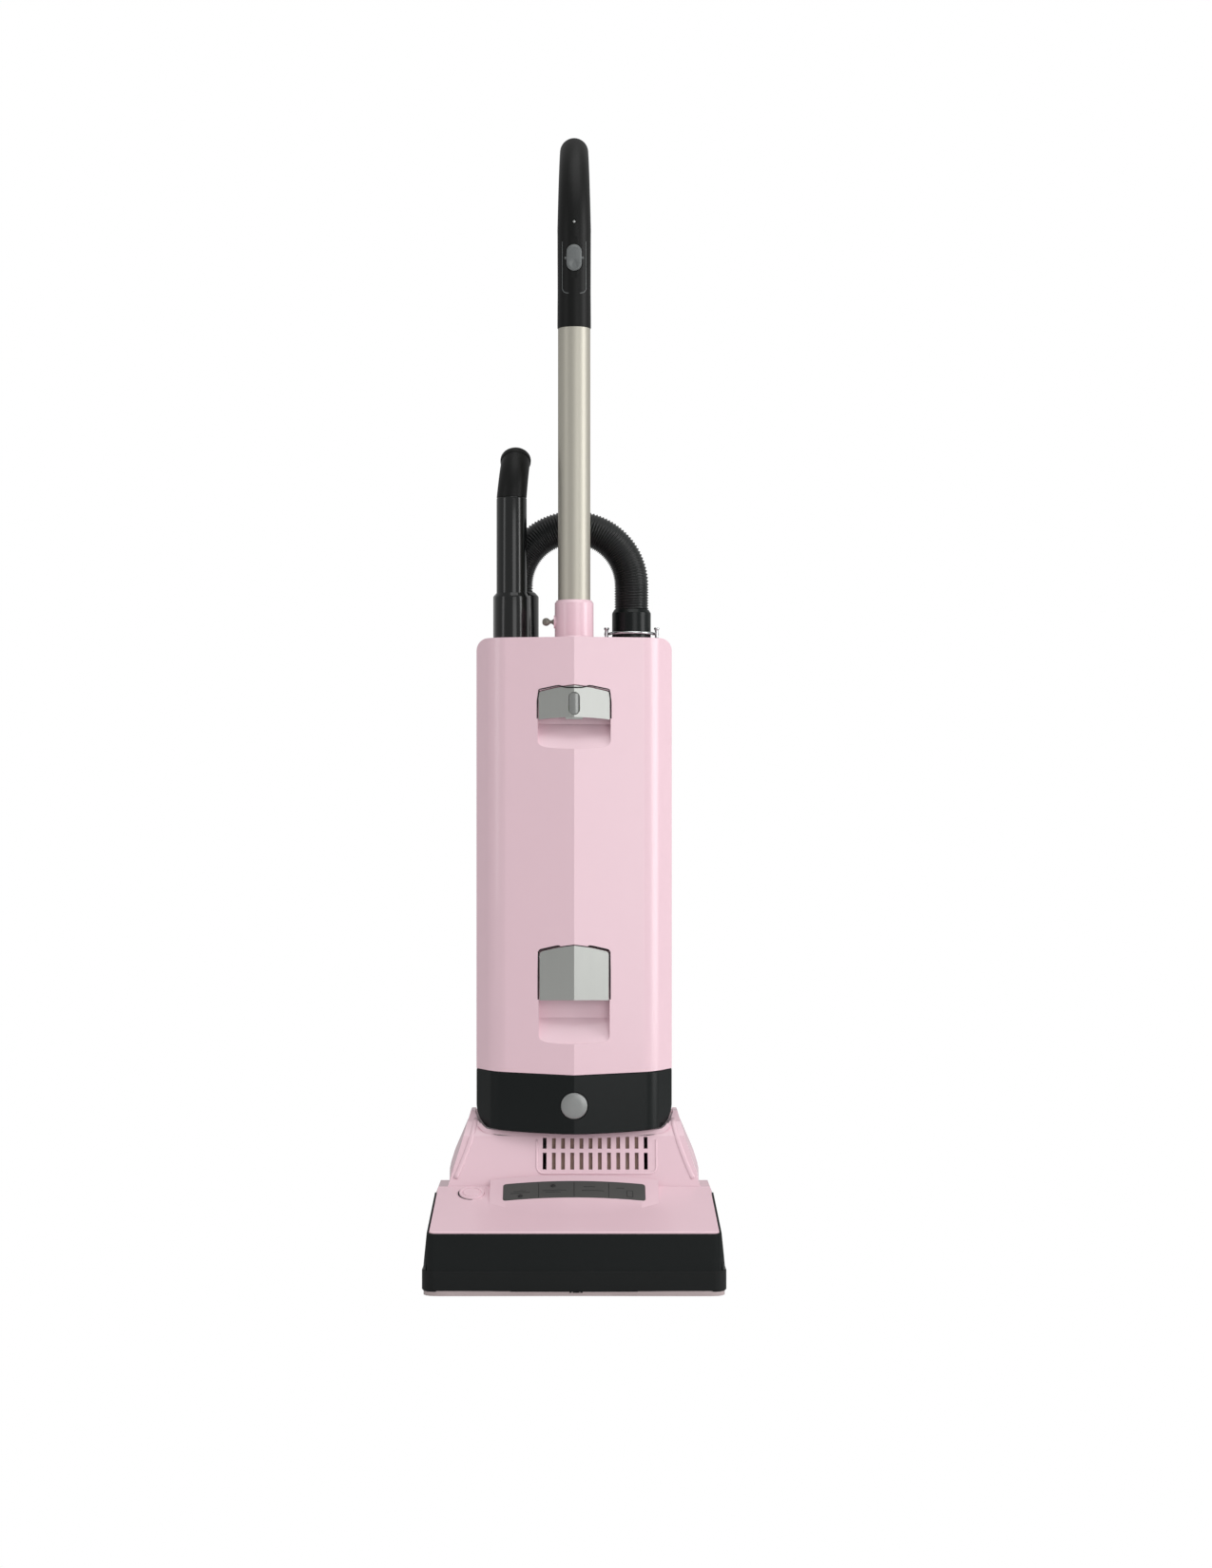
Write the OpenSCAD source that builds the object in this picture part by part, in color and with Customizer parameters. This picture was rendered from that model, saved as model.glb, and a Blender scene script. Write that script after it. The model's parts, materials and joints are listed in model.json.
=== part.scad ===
// Upright vacuum cleaner: power head, hinged upper body, handle and parked suction wand.
// Millimetres. +Z is up, -Y is the front, the origin is the centre of the footprint on the floor.

/* [Power head] */
// Width of the power head
head_w = 310; // [300:1:330]
// Length of the power head, nose to tail
head_l = 325; // [320:1:332]
// Height of the black front face
nose_h = 64; // [62:1:66]
// Height of the back edge of the sloping cover
cover_rise = 99.5; // [98.5:0.5:101]
// Distance from the nose to the back edge of the sloping cover
cover_run = 102; // [101:0.5:102.5]
// Wall of the moulded head shells
head_wall = 3; // [2.5:0.1:3.2]
// Radius of the tail wheels
wheel_r = 38; // [36:0.5:39]
// Width of the tail wheels
wheel_w = 26; // [20:1:28]
// Radius of the brush roller over its bristles
brush_r = 29; // [27:0.5:29.5]

/* [Upper body] */
// Width of the upper body
body_w = 208; // [200:1:212]
// Depth of the upper body over the front ridge
body_d = 164; // [162:1:170]
// Height of the top deck above the floor
body_top = 677; // [660:1:720]
// Depth of the front door
door_d = 60; // [58:1:62]
// Height of the joint between the door and the black exhaust cover
band_top = 216; // [214:1:220]
// Wall of the body shells
body_wall = 3; // [2.5:0.1:3.2]
// How far the front facets fall back from the ridge
facet_drop = 12; // [9:1:13]

/* [Handle] */
// Outer radius of the handle tube
tube_r = 17.5; // [16:0.25:18]
// Height of the top end of the bare tube
tube_top = 1016; // [980:1:1060]
// Wall of the handle tube
tube_wall = 1.5; // [1.2:0.1:2.5]
// Length of the upright part of the grip
grip_stem = 112; // [105:1:125]

/* [Hose and wand] */
// Outer radius of the ribbed hose
hose_r = 18; // [17:0.5:19]
// Distance from each side of the body to the hose leg near it
hose_inset = 40.5; // [40:0.5:42]
// Length of one rib of the hose
hose_pitch = 4; // [3.8:0.1:6]
// Outer radius of the suction wand
wand_r = 17.5; // [16:0.25:17.5]

/* [Hidden] */

eps = 0.5;          // how far a cut runs past a face
fit = 0.3;          // gap between seated or moving parts
run = 0.05;         // radial running clearance of a shaft in its bore

front_y = -head_l / 2;
rear_y = head_l / 2;

// A row of points along an arc in the plane of an outline.
function arc(cx, cy, r, a0, a1, n = 6) =
    [for (i = [0:n]) [cx + r * cos(a0 + (a1 - a0) * i / n), cy + r * sin(a0 + (a1 - a0) * i / n)]];

// A rectangle outline with one radius for its upper corners and one for its lower corners.
function rounded_box(x, z0, z1, rt, rb) = concat(
    arc(x - rb, z0 + rb, rb, -90, 0), arc(x - rt, z1 - rt, rt, 0, 90),
    arc(-x + rt, z1 - rt, rt, 90, 180), arc(-x + rb, z0 + rb, rb, 180, 270));

// Extrudes an outline drawn in Y and Z along X.
module along_x(x0, x1) { translate([x0, 0, 0]) rotate([90, 0, 90]) linear_extrude(x1 - x0) children(); }

// Extrudes an outline drawn in X and Z along Y.
module along_y(y0, y1) { translate([0, y1, 0]) rotate([90, 0, 0]) linear_extrude(y1 - y0) children(); }

module box(x0, x1, y0, y1, z0, z1) { translate([x0, y0, z0]) cube([x1 - x0, y1 - y0, z1 - z0]); }

// A cylinder on an axis along X, Y or Z.
module rod_x(x0, x1, y, z, r) { translate([x0, y, z]) rotate([0, 90, 0])
    cylinder(h = x1 - x0, r = r, $fn = 64); }
module rod_y(x, y0, y1, z, r) { translate([x, y1, z]) rotate([90, 0, 0])
    cylinder(h = y1 - y0, r = r, $fn = 64); }
module rod_z(x, y, z0, z1, r) { translate([x, y, z0]) cylinder(h = z1 - z0, r = r, $fn = 64); }

// The same on side s, which is 1 or -1, from distance a out to distance b.
module side_box(s, a, b, y0, y1, z0, z1) { box(s > 0 ? a : -b, s > 0 ? b : -a, y0, y1, z0, z1); }
module side_rod(s, a, b, y, z, r) { rod_x(s > 0 ? a : -b, s > 0 ? b : -a, y, z, r); }

// A helical compression spring drawn as one swept tube, from z = 0 to z = h about the Z axis.
function spring_point(t, r, h, turns, ends) =
    [r * cos(360 * turns * t), r * sin(360 * turns * t), ends + (h - 2 * ends) * t];
module spring(r, wire, h, turns) {
    n = turns * 8;
    sides = 6;
    centre = [for (i = [0:n]) spring_point(i / n, r, h, turns, wire)];
    ring = [for (i = [0:n]) let (a = 360 * turns * i / n) [for (k = [0:sides - 1])
        let (b = 360 * k / sides)
        centre[i] + [wire * cos(b) * cos(a), wire * cos(b) * sin(a), -wire * sin(b)]]];
    tube_mesh(ring, sides);
}

// A closed tube through rings of points, each ring turning left about the way ahead.
module tube_mesh(ring, sides) {
    n = len(ring) - 1;
    points = [for (r = ring) for (p = r) p];
    walls = [for (i = [0:n - 1]) for (k = [0:sides - 1])
        let (a = i * sides + k, b = i * sides + (k + 1) % sides)
        for (f = [[b, a, b + sides], [b + sides, a, a + sides]]) f];
    low = [for (k = [1:sides - 2]) [0, k, k + 1]];
    high = [for (k = [1:sides - 2]) [n * sides, n * sides + k + 1, n * sides + k]];
    polyhedron(points, concat(walls, low, high), convexity = 6);
}

// ---------------------------------------------------------------- power head

bumper_t = 1.2;                                  // how far the furniture guard stands proud
sole_t = 3.5;                                    // thickness of the sole plate
sole_z = 1.5;                                    // the plate's height above the floor
base_z = sole_z + sole_t;
nose_y = front_y + bumper_t;
half_base = head_w / 2 - bumper_t;
side_lean = 9;                                   // how far each side leans in, foot to top
corner_r = 13;                                   // front corners of the head, seen from above
cover_t = 3;
cover_front = nose_y + 1.5;
cover_back = front_y + cover_run;
cover_slope = (cover_rise - nose_h - 2.5) / (cover_run - 7);
function cover_z(y) = cover_rise + cover_slope * (y - cover_back);
chamber_back = cover_back - 23.5;                // front of the wall behind the brush
deck_z = 92;                                     // deck that carries the hump
deck_t = 3;
ridge_y = front_y + 110;
hinge_y = ridge_y + 122;
hinge_z = 100;
tail_top = 62;
tail_start = hinge_y - 11;
tail_half = body_w / 2 + 3;
// Height of the tail's sloping top.
function tail_z(y) = tail_top - 20 * (y - tail_start - 12) / (rear_y - 24 - tail_start);
neck_y = hinge_y - 34;                           // rear face of the wall in front of the neck

brush_y = chamber_back - 34;
brush_z = brush_r + 2;
shaft_r = 5;
bearing_r = 9;
bearing_w = 6;
brush_x0 = -half_base + 31;                      // left end of the brush body
brush_x1 = half_base - 12;                       // right end of the brush body
rib_t = 6;
pulley_x0 = brush_x0 - 21;                       // belt track, outside the left rib
pulley_w = 12;
motor_y = brush_y + 90;
motor_z = 60;
brush_motor_r = 27;
motor_teeth = 14;
brush_teeth = 34;
tooth_pitch = 3.6;
motor_pulley_r = motor_teeth * tooth_pitch / (2 * PI);
brush_pulley_r = brush_teeth * tooth_pitch / (2 * PI);

wheel_x = tail_half + 2;                         // inner face of a tail wheel
wheel_y = rear_y - wheel_r - 2.5;
tyre_t = 6;
axle_r = 5;
roller_r = 9;
roller_y = chamber_back + 20;

button_x = -half_base + 46.8;                                 // round release button on the cover
button_y = front_y + 86.5;
button_r = 13;
button_z = deck_z - 8;                    // underside of the button
duct_x = 40;
duct_z = 23;
duct_top = deck_z - deck_t - 2;
motor_x0 = brush_x0 + 4.8;
motor_x1 = motor_x0 + 110;
pedal_x = tail_half - 17;                        // middle of the foot pedal
pedal_y = rear_y - 20;
pedal_z = tail_z(pedal_y) + 4;

// Outline of the head seen from above, drawn in by a margin.
module head_plan(inset, back) {
    w = half_base + bumper_t - inset;
    f = front_y + inset;
    r = corner_r - inset;
    polygon(concat([[w, back]], arc(w - r, f + r, r, 0, -90), arc(-w + r, f + r, r, -90, -180),
        [[-w, back]]));
}

// The head's sides lean in above the furniture guard, drawn in by a margin.
module head_taper(inset) {
    w = head_w / 2 - inset;
    along_y(front_y - 10, rear_y + 10)
        polygon([[-w, -1], [w, -1], [w, base_z + 21], [w - side_lean * 0.45, nose_h],
            [w - side_lean, cover_rise],
            [w - side_lean, 300], [-w + side_lean, 300], [-w + side_lean, cover_rise],
                [-w + side_lean * 0.45, nose_h], [-w, base_z + 21]]);
}

module base_side() {
    polygon([[nose_y - 5, base_z], [nose_y - 5, nose_h - 1], [nose_y + 1, nose_h - 1],
        [cover_front + 5, cover_z(cover_front + 5) - 0.8],
        [chamber_back + 12, cover_z(chamber_back + 12) - 0.8], [chamber_back + 12, deck_z - deck_t],
        [tail_start - 1, deck_z - deck_t], [tail_start + 12, tail_top], [rear_y - 12, tail_top - 20],
        [rear_y - 2, tail_top - 32], [rear_y - 2, base_z + 4], [rear_y - 8, base_z]]);
}

// The space under the cover, down to a depth below its top face.
module under_cover(depth, margin) {
    intersection() {
        along_x(-half_base, half_base)
            polygon([[nose_y - 5, cover_z(nose_y - 5) - depth],
                [chamber_back + 12.5, cover_z(chamber_back + 12.5) - depth],
                [chamber_back + 12.5, 160], [nose_y - 5, 160]]);
        linear_extrude(200) head_plan(bumper_t + margin, cover_back + 20);
        head_taper(bumper_t + margin);
    }
}

module head_base() {
    w = head_wall;
    inner = half_base - w;
    color("#232625") difference() {
        union() {
            difference() {
                intersection() {
                    along_x(-half_base, half_base) base_side();
                    linear_extrude(200) head_plan(bumper_t, rear_y);
                    head_taper(bumper_t);
                }
                under_cover(cover_t + 0.2, 2);
                intersection() {
                    head_taper(bumper_t + w);
                    union() {
                        box(-inner, inner, nose_y + w, chamber_back, -eps, 200);
                        box(-inner, inner, chamber_back + w, neck_y - w, base_z + w, 200);
                        for (s = [-1, 1])
                            side_box(s, tail_half + w, inner, 0, tail_start - w, base_z + w, 200);
                    }
                }
                // room for the neck above the tail
                box(-tail_half + 1, tail_half - 1, neck_y, rear_y + 5, tail_top, 200);
                // wheel wells
                for (s = [-1, 1])
                    side_box(s, tail_half, 200, wheel_y - wheel_r - 6, rear_y + 5, -eps, 200);
                // hollow underside of the tail
                along_x(-tail_half + w, tail_half - w)
                    polygon([[neck_y, -1], [neck_y, tail_top - w], [tail_start + 11, tail_top - w],
                        [rear_y - 13, tail_top - 20 - w],
                        [rear_y - 5, tail_top - 32 - w], [rear_y - 5, -1]]);
            }
            // cup of the release button
            rod_z(button_x, button_y, button_z - 14, cover_z(button_y - button_r - 3) - cover_t - 0.5,
                button_r + 3);
            screw_places() rod_z(0, 0, base_z, base_z + 9, 4.5);
            // saddles under the brush motor
            for (x = [motor_x0 + 12, motor_x1 - 16]) difference() {
                box(x, x + 4, motor_y - 22, motor_y + 22, base_z + w - eps, motor_z - 8);
                rod_x(x - eps, x + 4 + eps, motor_y, motor_z, brush_motor_r + 0.02);
            }
            // bearing ribs for the brush
            intersection() {
                union() {
                    box(brush_x0 - 2 - rib_t, brush_x0 - 2, nose_y, chamber_back + eps, base_z + 2,
                        brush_z + 27);
                    box(brush_x1 + 2, half_base, nose_y, chamber_back + eps, base_z + 2, brush_z + 27);
                }
                linear_extrude(200) head_plan(bumper_t + 1, rear_y);
                head_taper(bumper_t + 1);
            }
            // cheeks that carry the hinge pins
            for (x = [-66, 58]) {
                box(x, x + 8, hinge_y - 22, hinge_y + 22, base_z + 1, hinge_z);
                rod_x(x, x + 8, hinge_y, hinge_z, 22);
            }
            // wheel axle bosses on the inner faces of the wheel wells
            for (s = [-1, 1])
                side_rod(s, tail_half - 12, tail_half, wheel_y, wheel_r, 10);
            // ears that carry the roller pin
            for (x = [-66, 62]) box(x, x + 4, roller_y - 10, roller_y + 10, 4, base_z + w + 6);
            // ears of the foot pedal
            for (x = [pedal_x - 14, pedal_x + 10])
                box(x, x + 4, pedal_y - 8, pedal_y + 12, pedal_z - 20, pedal_z + 6);
        }
        rod_x(brush_x0 - 2 - rib_t - eps, brush_x0 - 2 + eps, brush_y, brush_z, bearing_r + 0.02);
        rod_x(brush_x1 + 2 - eps, brush_x1 + 2 + bearing_w, brush_y, brush_z, bearing_r + 0.02);
        // slot that lets the belt through the wall
        box(pulley_x0 - 2, pulley_x0 + pulley_w + 2, chamber_back - 1, chamber_back + w + 1, base_z + 6,
            deck_z - deck_t - 3);
        for (x = [-66, 58]) rod_x(x - eps, x + 8 + eps, hinge_y, hinge_z, 8.02);
        for (s = [-1, 1])
            side_rod(s, tail_half - 14, tail_half + 1, wheel_y, wheel_r, axle_r + 0.02);
        for (x = [-66, 62]) rod_x(x - 1.5, x + 5.5, roller_y, roller_r, 3.02);
        for (x = [pedal_x - 14, pedal_x + 10]) rod_x(x - eps, x + 4 + eps, pedal_y, pedal_z, 3.02);
        box(-61, 61, roller_y - roller_r - 2, roller_y + roller_r + 2, -eps, base_z + w + 1);
        // suction duct: its way in from the brush chamber and out to the neck
        box(duct_x - 16, duct_x + 16, neck_y - w - 1, neck_y + 1, duct_top - 22, duct_top - 2);
        box(duct_x - 16, duct_x + 16, chamber_back - 1, chamber_back + w + 1, duct_z, duct_z + 30);
        // thread holes for the sole screws
        screw_places() rod_z(0, 0, base_z - eps, base_z + 8, 1.52);
        // release button and its spring live in a cup
        rod_z(button_x, button_y, button_z - 11, 200, button_r + fit);
    }
}

module screw_places() {
    for (x = [-1, 1], y = [nose_y + head_wall + 4, chamber_back - 4])
        translate([x * (half_base - head_wall - 4), y, 0]) children();
}

module sole_plate() {
    color("#cdbfc2") difference() {
        translate([0, 0, sole_z]) linear_extrude(sole_t) head_plan(bumper_t + 1.5, chamber_back + 4);
        box(brush_x0 + 2, brush_x1 - 2, brush_y - brush_r - 1, brush_y + brush_r - 2, 0, base_z + 1);
        for (x = [-80, 0, 93]) box(x - 3, x + 3, front_y - 1, nose_y + 3, sole_z + 1.5, base_z + 1);
        screw_places() {
            rod_z(0, 0, sole_z - eps, base_z + eps, 1.8);
            rod_z(0, 0, sole_z - eps, sole_z + 2, 3.6);
        }
    }
}

module bumper_strip() {
    color("#1b1d1d") translate([0, 0, base_z + 1]) linear_extrude(20)
        difference() {
            head_plan(0, chamber_back);
            head_plan(bumper_t, chamber_back + 1);
        }
}

console_half = 88;                               // raised part of the cover, round the panel
console_front = cover_back - 64;
console_top = cover_rise + 12;
console_slope = (console_top - cover_z(console_front)) / (cover_back - console_front);
crown_r = 860;                                   // the console is crowned from side to side
panel_front = cover_back - 35.5;
panel_back = cover_back - 9.5;
panel_half = 74;
panel_t = 1.4;

// Everything below the console's crowned top, raised by an amount.
module crown(grow) {
    translate([0, cover_back, console_top]) rotate([atan(console_slope), 0, 0])
        translate([0, 20, -crown_r]) rotate([90, 0, 0]) cylinder(r = crown_r + grow, h = 120, $fn = 720);
}

module panel_plan(grow) {
    r = 3 + grow;
    x = panel_half - 3;
    for (u = [-x, x], v = [panel_front + 3, panel_back - 3]) translate([u, v]) circle(r = r, $fn = 32);
    translate([-x, panel_front - grow]) square([2 * x, panel_back - panel_front + 2 * grow]);
    translate([-x - r, panel_front + 3]) square([2 * (x + r), panel_back - panel_front - 6]);
}

module head_cover() {
    color("#dcb9c1") difference() {
        intersection() {
            union() {
                along_x(-half_base, half_base)
                    polygon([[cover_front, cover_z(cover_front) - cover_t],
                        [cover_front, cover_z(cover_front) - 1],
                        [cover_front + 2, cover_z(cover_front + 2)], [cover_back, cover_rise],
                        [cover_back, cover_rise - cover_t]]);
                intersection() {
                    along_x(-console_half, console_half)
                        polygon([[console_front, cover_z(console_front) - 1],
                            [console_front, cover_z(console_front)],
                            [cover_back, console_top + 5], [cover_back, cover_rise - 1]]);
                    crown(0);
                }
            }
            head_taper(bumper_t + 2.3);
            linear_extrude(200) head_plan(bumper_t + 2.3, cover_back + 1);
        }
        rod_z(button_x, button_y, 0, 200, button_r + fit);
        difference() {
            linear_extrude(200) panel_plan(0.2);
            crown(-panel_t);
        }
    }
}

module indicator_panel() {
    color("#4c504f") intersection() {
        linear_extrude(200) panel_plan(0);
        difference() {
            crown(0.2);
            crown(-panel_t);
        }
    }
}

hump_foot = chamber_back + 22;                    // foot of the hump's front face
hump_neck_z = 150;                                // top of the front face, under the body
fender_z = 174;
pocket_gap = 2.5;

module hump_side(inset) {
    polygon([[hump_foot + inset, deck_z - deck_t - 1], [hump_foot + inset, deck_z],
        [hump_foot + 26 + inset * 0.9, hump_neck_z], [hump_foot + 40 + inset * 0.7, fender_z - 10 - inset],
        [hump_foot + 58, fender_z - inset], [hump_foot + 92, fender_z - inset],
        [hump_foot + 112 - inset * 0.7, fender_z - 16 - inset],
        [tail_start - 2 - inset, deck_z + 28], [tail_start - 2 - inset, deck_z - deck_t - 1]]);
}

module hump_front(inset) {
    foot = head_w / 2 - 19 - inset;
    head = body_w / 2 + 6 - inset;
    polygon([[-foot, deck_z - deck_t - 1], [foot, deck_z - deck_t - 1], [head + 7, hump_neck_z],
        [head, fender_z + 1], [-head, fender_z + 1], [-head - 7, hump_neck_z]]);
}

// The hollow that the lower body drops into.
module body_pocket(gap) {
    along_y(hump_foot - 30, rear_y)
        polygon(rounded_box(body_w / 2 + gap, hump_neck_z + pocket_gap - gap, 400, 5, 28 + gap));
}

module hump_cover() {
    w = head_wall;
    slots = 12;
    slot_pitch = 9.7;
    slot_x = 22.2;
    color("#dfbcc5") difference() {
        union() {
            difference() {
                intersection() {
                    along_x(-head_w / 2, head_w / 2) hump_side(0);
                    along_y(front_y, rear_y) hump_front(0);
                }
                body_pocket(pocket_gap);
                difference() {
                    intersection() {
                        along_x(-head_w / 2, head_w / 2) hump_side(w);
                        along_y(front_y, rear_y) hump_front(w);
                    }
                    body_pocket(pocket_gap + w);
                    box(-tail_half + 1 - w, tail_half - 1 + w, neck_y - w, rear_y, 0, 300);
                }
            }
            // deck that closes the base
            difference() {
                intersection() {
                    box(-half_base, half_base, chamber_back + 12.5, tail_start - 1, deck_z - deck_t, deck_z);
                    head_taper(bumper_t + 0.5);
                }
                intersection() {
                    along_x(-head_w / 2, head_w / 2) hump_side(w);
                    along_y(front_y, rear_y) hump_front(w);
                }
            }
        }
        // room for the neck and the reclining body
        box(-tail_half + 1, tail_half - 1, neck_y, rear_y, tail_top, 300);
        box(-200, 200, front_y, rear_y, 0, deck_z - deck_t);
        rod_z(button_x, button_y, 0, 200, button_r + fit);
        for (i = [0:slots - 1], row = [0, 1])
            box(slot_x + (i - (slots - 1) / 2) * slot_pitch - 2,
                slot_x + (i - (slots - 1) / 2) * slot_pitch + 2,
                hump_foot - 5, hump_foot + 36, hump_neck_z - 34 + row * 21, hump_neck_z - 17 + row * 16);
    }
}

module head_screws() {
    color("#8d9190") screw_places() difference() {
        union() {
            rod_z(0, 0, sole_z + 0.2, sole_z + 2, 3.3);
            rod_z(0, 0, sole_z + 2 - eps, base_z + 7, 1.5);
        }
        box(-2, 2, -0.4, 0.4, 0, sole_z + 1);
        box(-0.4, 0.4, -2, 2, 0, sole_z + 1);
    }
}

module brush_core() {
    color("#2c2f30") difference() {
        union() {
            rod_x(brush_x0, brush_x1, brush_y, brush_z, 20);
            rod_x(pulley_x0, brush_x1 + 7, brush_y, brush_z, shaft_r);
        }
        tuft_places() translate([0, 0, 16]) cylinder(r = 2.45, h = 6, $fn = 24);
    }
}

// Seats of the bristle tufts: two rows, each running round the core from the ends to the middle.
module tuft_places() {
    tufts = 17;
    span = brush_x1 - brush_x0 - 20;
    for (row = [0, 1], i = [0:tufts - 1])
        translate([brush_x0 + 10 + span * i / (tufts - 1), brush_y, brush_z])
            rotate([row * 180 + 100 * abs(i / (tufts - 1) - 0.5), 0, 0]) children();
}

module brush_bristles() {
    color("#15181b") tuft_places() translate([0, 0, 16]) cylinder(r = 2.4, h = brush_r - 16, $fn = 24);
}

module brush_pulley() {
    color("#3a3d3d") difference() {
        union() {
            rod_x(pulley_x0, pulley_x0 + pulley_w, brush_y, brush_z, brush_pulley_r);
            rod_x(pulley_x0 + pulley_w - 1, pulley_x0 + pulley_w, brush_y, brush_z, brush_pulley_r + 3);
        }
        rod_x(pulley_x0 - eps, pulley_x0 + pulley_w + eps, brush_y, brush_z, shaft_r + 0.02);
    }
}

module brush_bearings() {
    color("#9da1a2") for (x = [brush_x0 - 2 - bearing_w, brush_x1 + 2]) difference() {
        rod_x(x, x + bearing_w, brush_y, brush_z, bearing_r);
        rod_x(x - eps, x + bearing_w + eps, brush_y, brush_z, shaft_r + run);
    }
}

// Outline of a band round the two pulleys, in the plane of Y and Z.
module belt_outline(more) {
    ra = brush_pulley_r + more;
    rb = motor_pulley_r + more;
    run_y = motor_y - brush_y;
    run_z = motor_z - brush_z;
    dir = atan2(run_z, run_y);
    lean = acos((ra - rb) / norm([run_y, run_z]));
    polygon(concat(arc(brush_y, brush_z, ra, dir + lean, dir - lean + 360, 32),
        arc(motor_y, motor_z, rb, dir - lean, dir + lean, 20)));
}

module drive_belt() {
    color("#1a1c1c") along_x(pulley_x0 + 1, pulley_x0 + pulley_w - 2) difference() {
        belt_outline(2);
        belt_outline(0.1);
    }
}

module brush_motor() {
    color("#777c7e") difference() {
        rod_x(motor_x0, motor_x1, motor_y, motor_z, brush_motor_r);
        rod_x(motor_x0 + 3, motor_x1 - 3, motor_y, motor_z, brush_motor_r - 3);
        rod_x(motor_x0 - eps, motor_x1 + eps, motor_y, motor_z, 4 + run);
        for (a = [0:60:300]) translate([0, motor_y, motor_z]) rotate([a, 0, 0])
            box(motor_x1 - 14, motor_x1 - 6, -4, 4, 18, 40);
    }
}

module brush_motor_shaft() {
    color("#8b6a4a") {
        rod_x(pulley_x0, motor_x1 + 3, motor_y, motor_z, 4);
        rod_x(pulley_x0, pulley_x0 + pulley_w, motor_y, motor_z, motor_pulley_r);
        rod_x(motor_x0 + 14, motor_x1 - 14, motor_y, motor_z, 19);
    }
}

module head_duct() {
    t = 2;
    back = neck_y - head_wall;
    color("#34393a") difference() {
        union() {
            along_x(duct_x - 18, duct_x + 18)
                polygon([[chamber_back + head_wall, duct_z - t], [back - 34, duct_z - t],
                    [back - 12, duct_top - 22 - t],
                    [back, duct_top - 22 - t], [back, duct_top], [back - 26, duct_top],
                        [back - 52, duct_z + 30 + t],
                    [chamber_back + head_wall, duct_z + 30 + t]]);
            box(duct_x - 10, duct_x + 10, roller_y + 22, back - 40, base_z + head_wall, duct_z - t + eps);
        }
        along_x(duct_x - 18 + t, duct_x + 18 - t)
            polygon([[chamber_back + head_wall - eps, duct_z], [back - 34 - 1, duct_z],
                [back - 13, duct_top - 22],
                [back + eps, duct_top - 22], [back + eps, duct_top - t], [back - 25, duct_top - t],
                    [back - 51, duct_z + 30],
                [chamber_back + head_wall - eps, duct_z + 30]]);
    }
}

module head_button() {
    h = cover_z(button_y) + 1.5;
    color("#dcb9c1") difference() {
        rod_z(button_x, button_y, button_z, h + 12, button_r);
        // the face is level with the sloping cover
        translate([button_x, button_y, h]) rotate([atan(cover_slope), 0, 0]) box(-30, 30, -40, 40, 0, 40);
        rod_z(button_x, button_y, button_z - eps, button_z + 3, 7);
        translate([button_x, button_y, h]) rotate([atan(cover_slope), 0, 0]) difference() {
            rod_z(0, 0, -0.6, 1, button_r - 3);
            rod_z(0, 0, -1, 1, button_r - 4);
        }
    }
}

module head_button_spring() {
    color("#b4b8ba") translate([button_x, button_y, button_z - 11]) spring(5, 0.7, 14, 4);
}

// A tail wheel's hub, its inner face at x = 0.
module wheel_hub() {
    r = wheel_r - tyre_t;
    color("#2a2d2d") translate([0, wheel_y, wheel_r]) difference() {
        rod_x(0, wheel_w, 0, 0, r);
        difference() {
            union() {
                rod_x(wheel_w - 8, wheel_w + eps, 0, 0, r - 4);
                rod_x(-eps, 8, 0, 0, r - 4);
            }
            rod_x(-1, wheel_w + 1, 0, 0, 11);
            for (a = [0:60:300]) rotate([a, 0, 0]) box(2, wheel_w - 2, -1.5, 1.5, 0, r);
        }
        rod_x(-eps, wheel_w + eps, 0, 0, axle_r + run);
    }
}

module wheel_tyre() {
    color("#191a1a") translate([0, wheel_y, wheel_r]) difference() {
        rod_x(0, wheel_w, 0, 0, wheel_r);
        rod_x(-eps, wheel_w + eps, 0, 0, wheel_r - tyre_t + 0.02);
        for (x = [7, wheel_w / 2, wheel_w - 7]) difference() {
            rod_x(x - 1, x + 1, 0, 0, wheel_r + 1);
            rod_x(x - 2, x + 2, 0, 0, wheel_r - 1.5);
        }
    }
}

module wheel_right() {
    translate([wheel_x, 0, 0]) wheel_hub();
}

module tyre_right() {
    translate([wheel_x, 0, 0]) wheel_tyre();
}

module wheel_left() {
    mirror([1, 0, 0]) wheel_right();
}

module tyre_left() {
    mirror([1, 0, 0]) tyre_right();
}

module axles() {
    color("#b7bbbd") for (s = [0, 1]) mirror([s, 0, 0]) {
        rod_x(tail_half - 13, wheel_x + wheel_w + 1, wheel_y, wheel_r, axle_r);
        rod_x(wheel_x + wheel_w + 0.5, wheel_x + wheel_w + 3, wheel_y, wheel_r, 9);
    }
}

module front_roller() {
    color("#202323") {
        rod_x(-60, 60, roller_y, roller_r, roller_r);
        rod_x(-65.5, 65.5, roller_y, roller_r, 2.97);
    }
}

module foot_pedal() {
    y = pedal_y;
    z = pedal_z;
    color("#1f2222") {
        rod_x(pedal_x - 13.5, pedal_x + 13.5, y, z, 2.97);
        rod_x(pedal_x - 9.7, pedal_x + 9.7, y, z, 3.5);
        difference() {
            along_x(pedal_x - 9.7, pedal_x + 9.7) polygon([[y - 4, z], [y, z - 3], [rear_y - 3, z + 1],
                [rear_y - 0.5, z + 3], [rear_y - 0.5, z + 6],
                [y, z + 7], [y - 4, z + 4]]);
            for (i = [0:3]) box(pedal_x - 11, pedal_x + 11, y + 5 + i * 3.5, y + 6.5 + i * 3.5, z + 5.3,
                z + 10);
        }
    }
}

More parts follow.
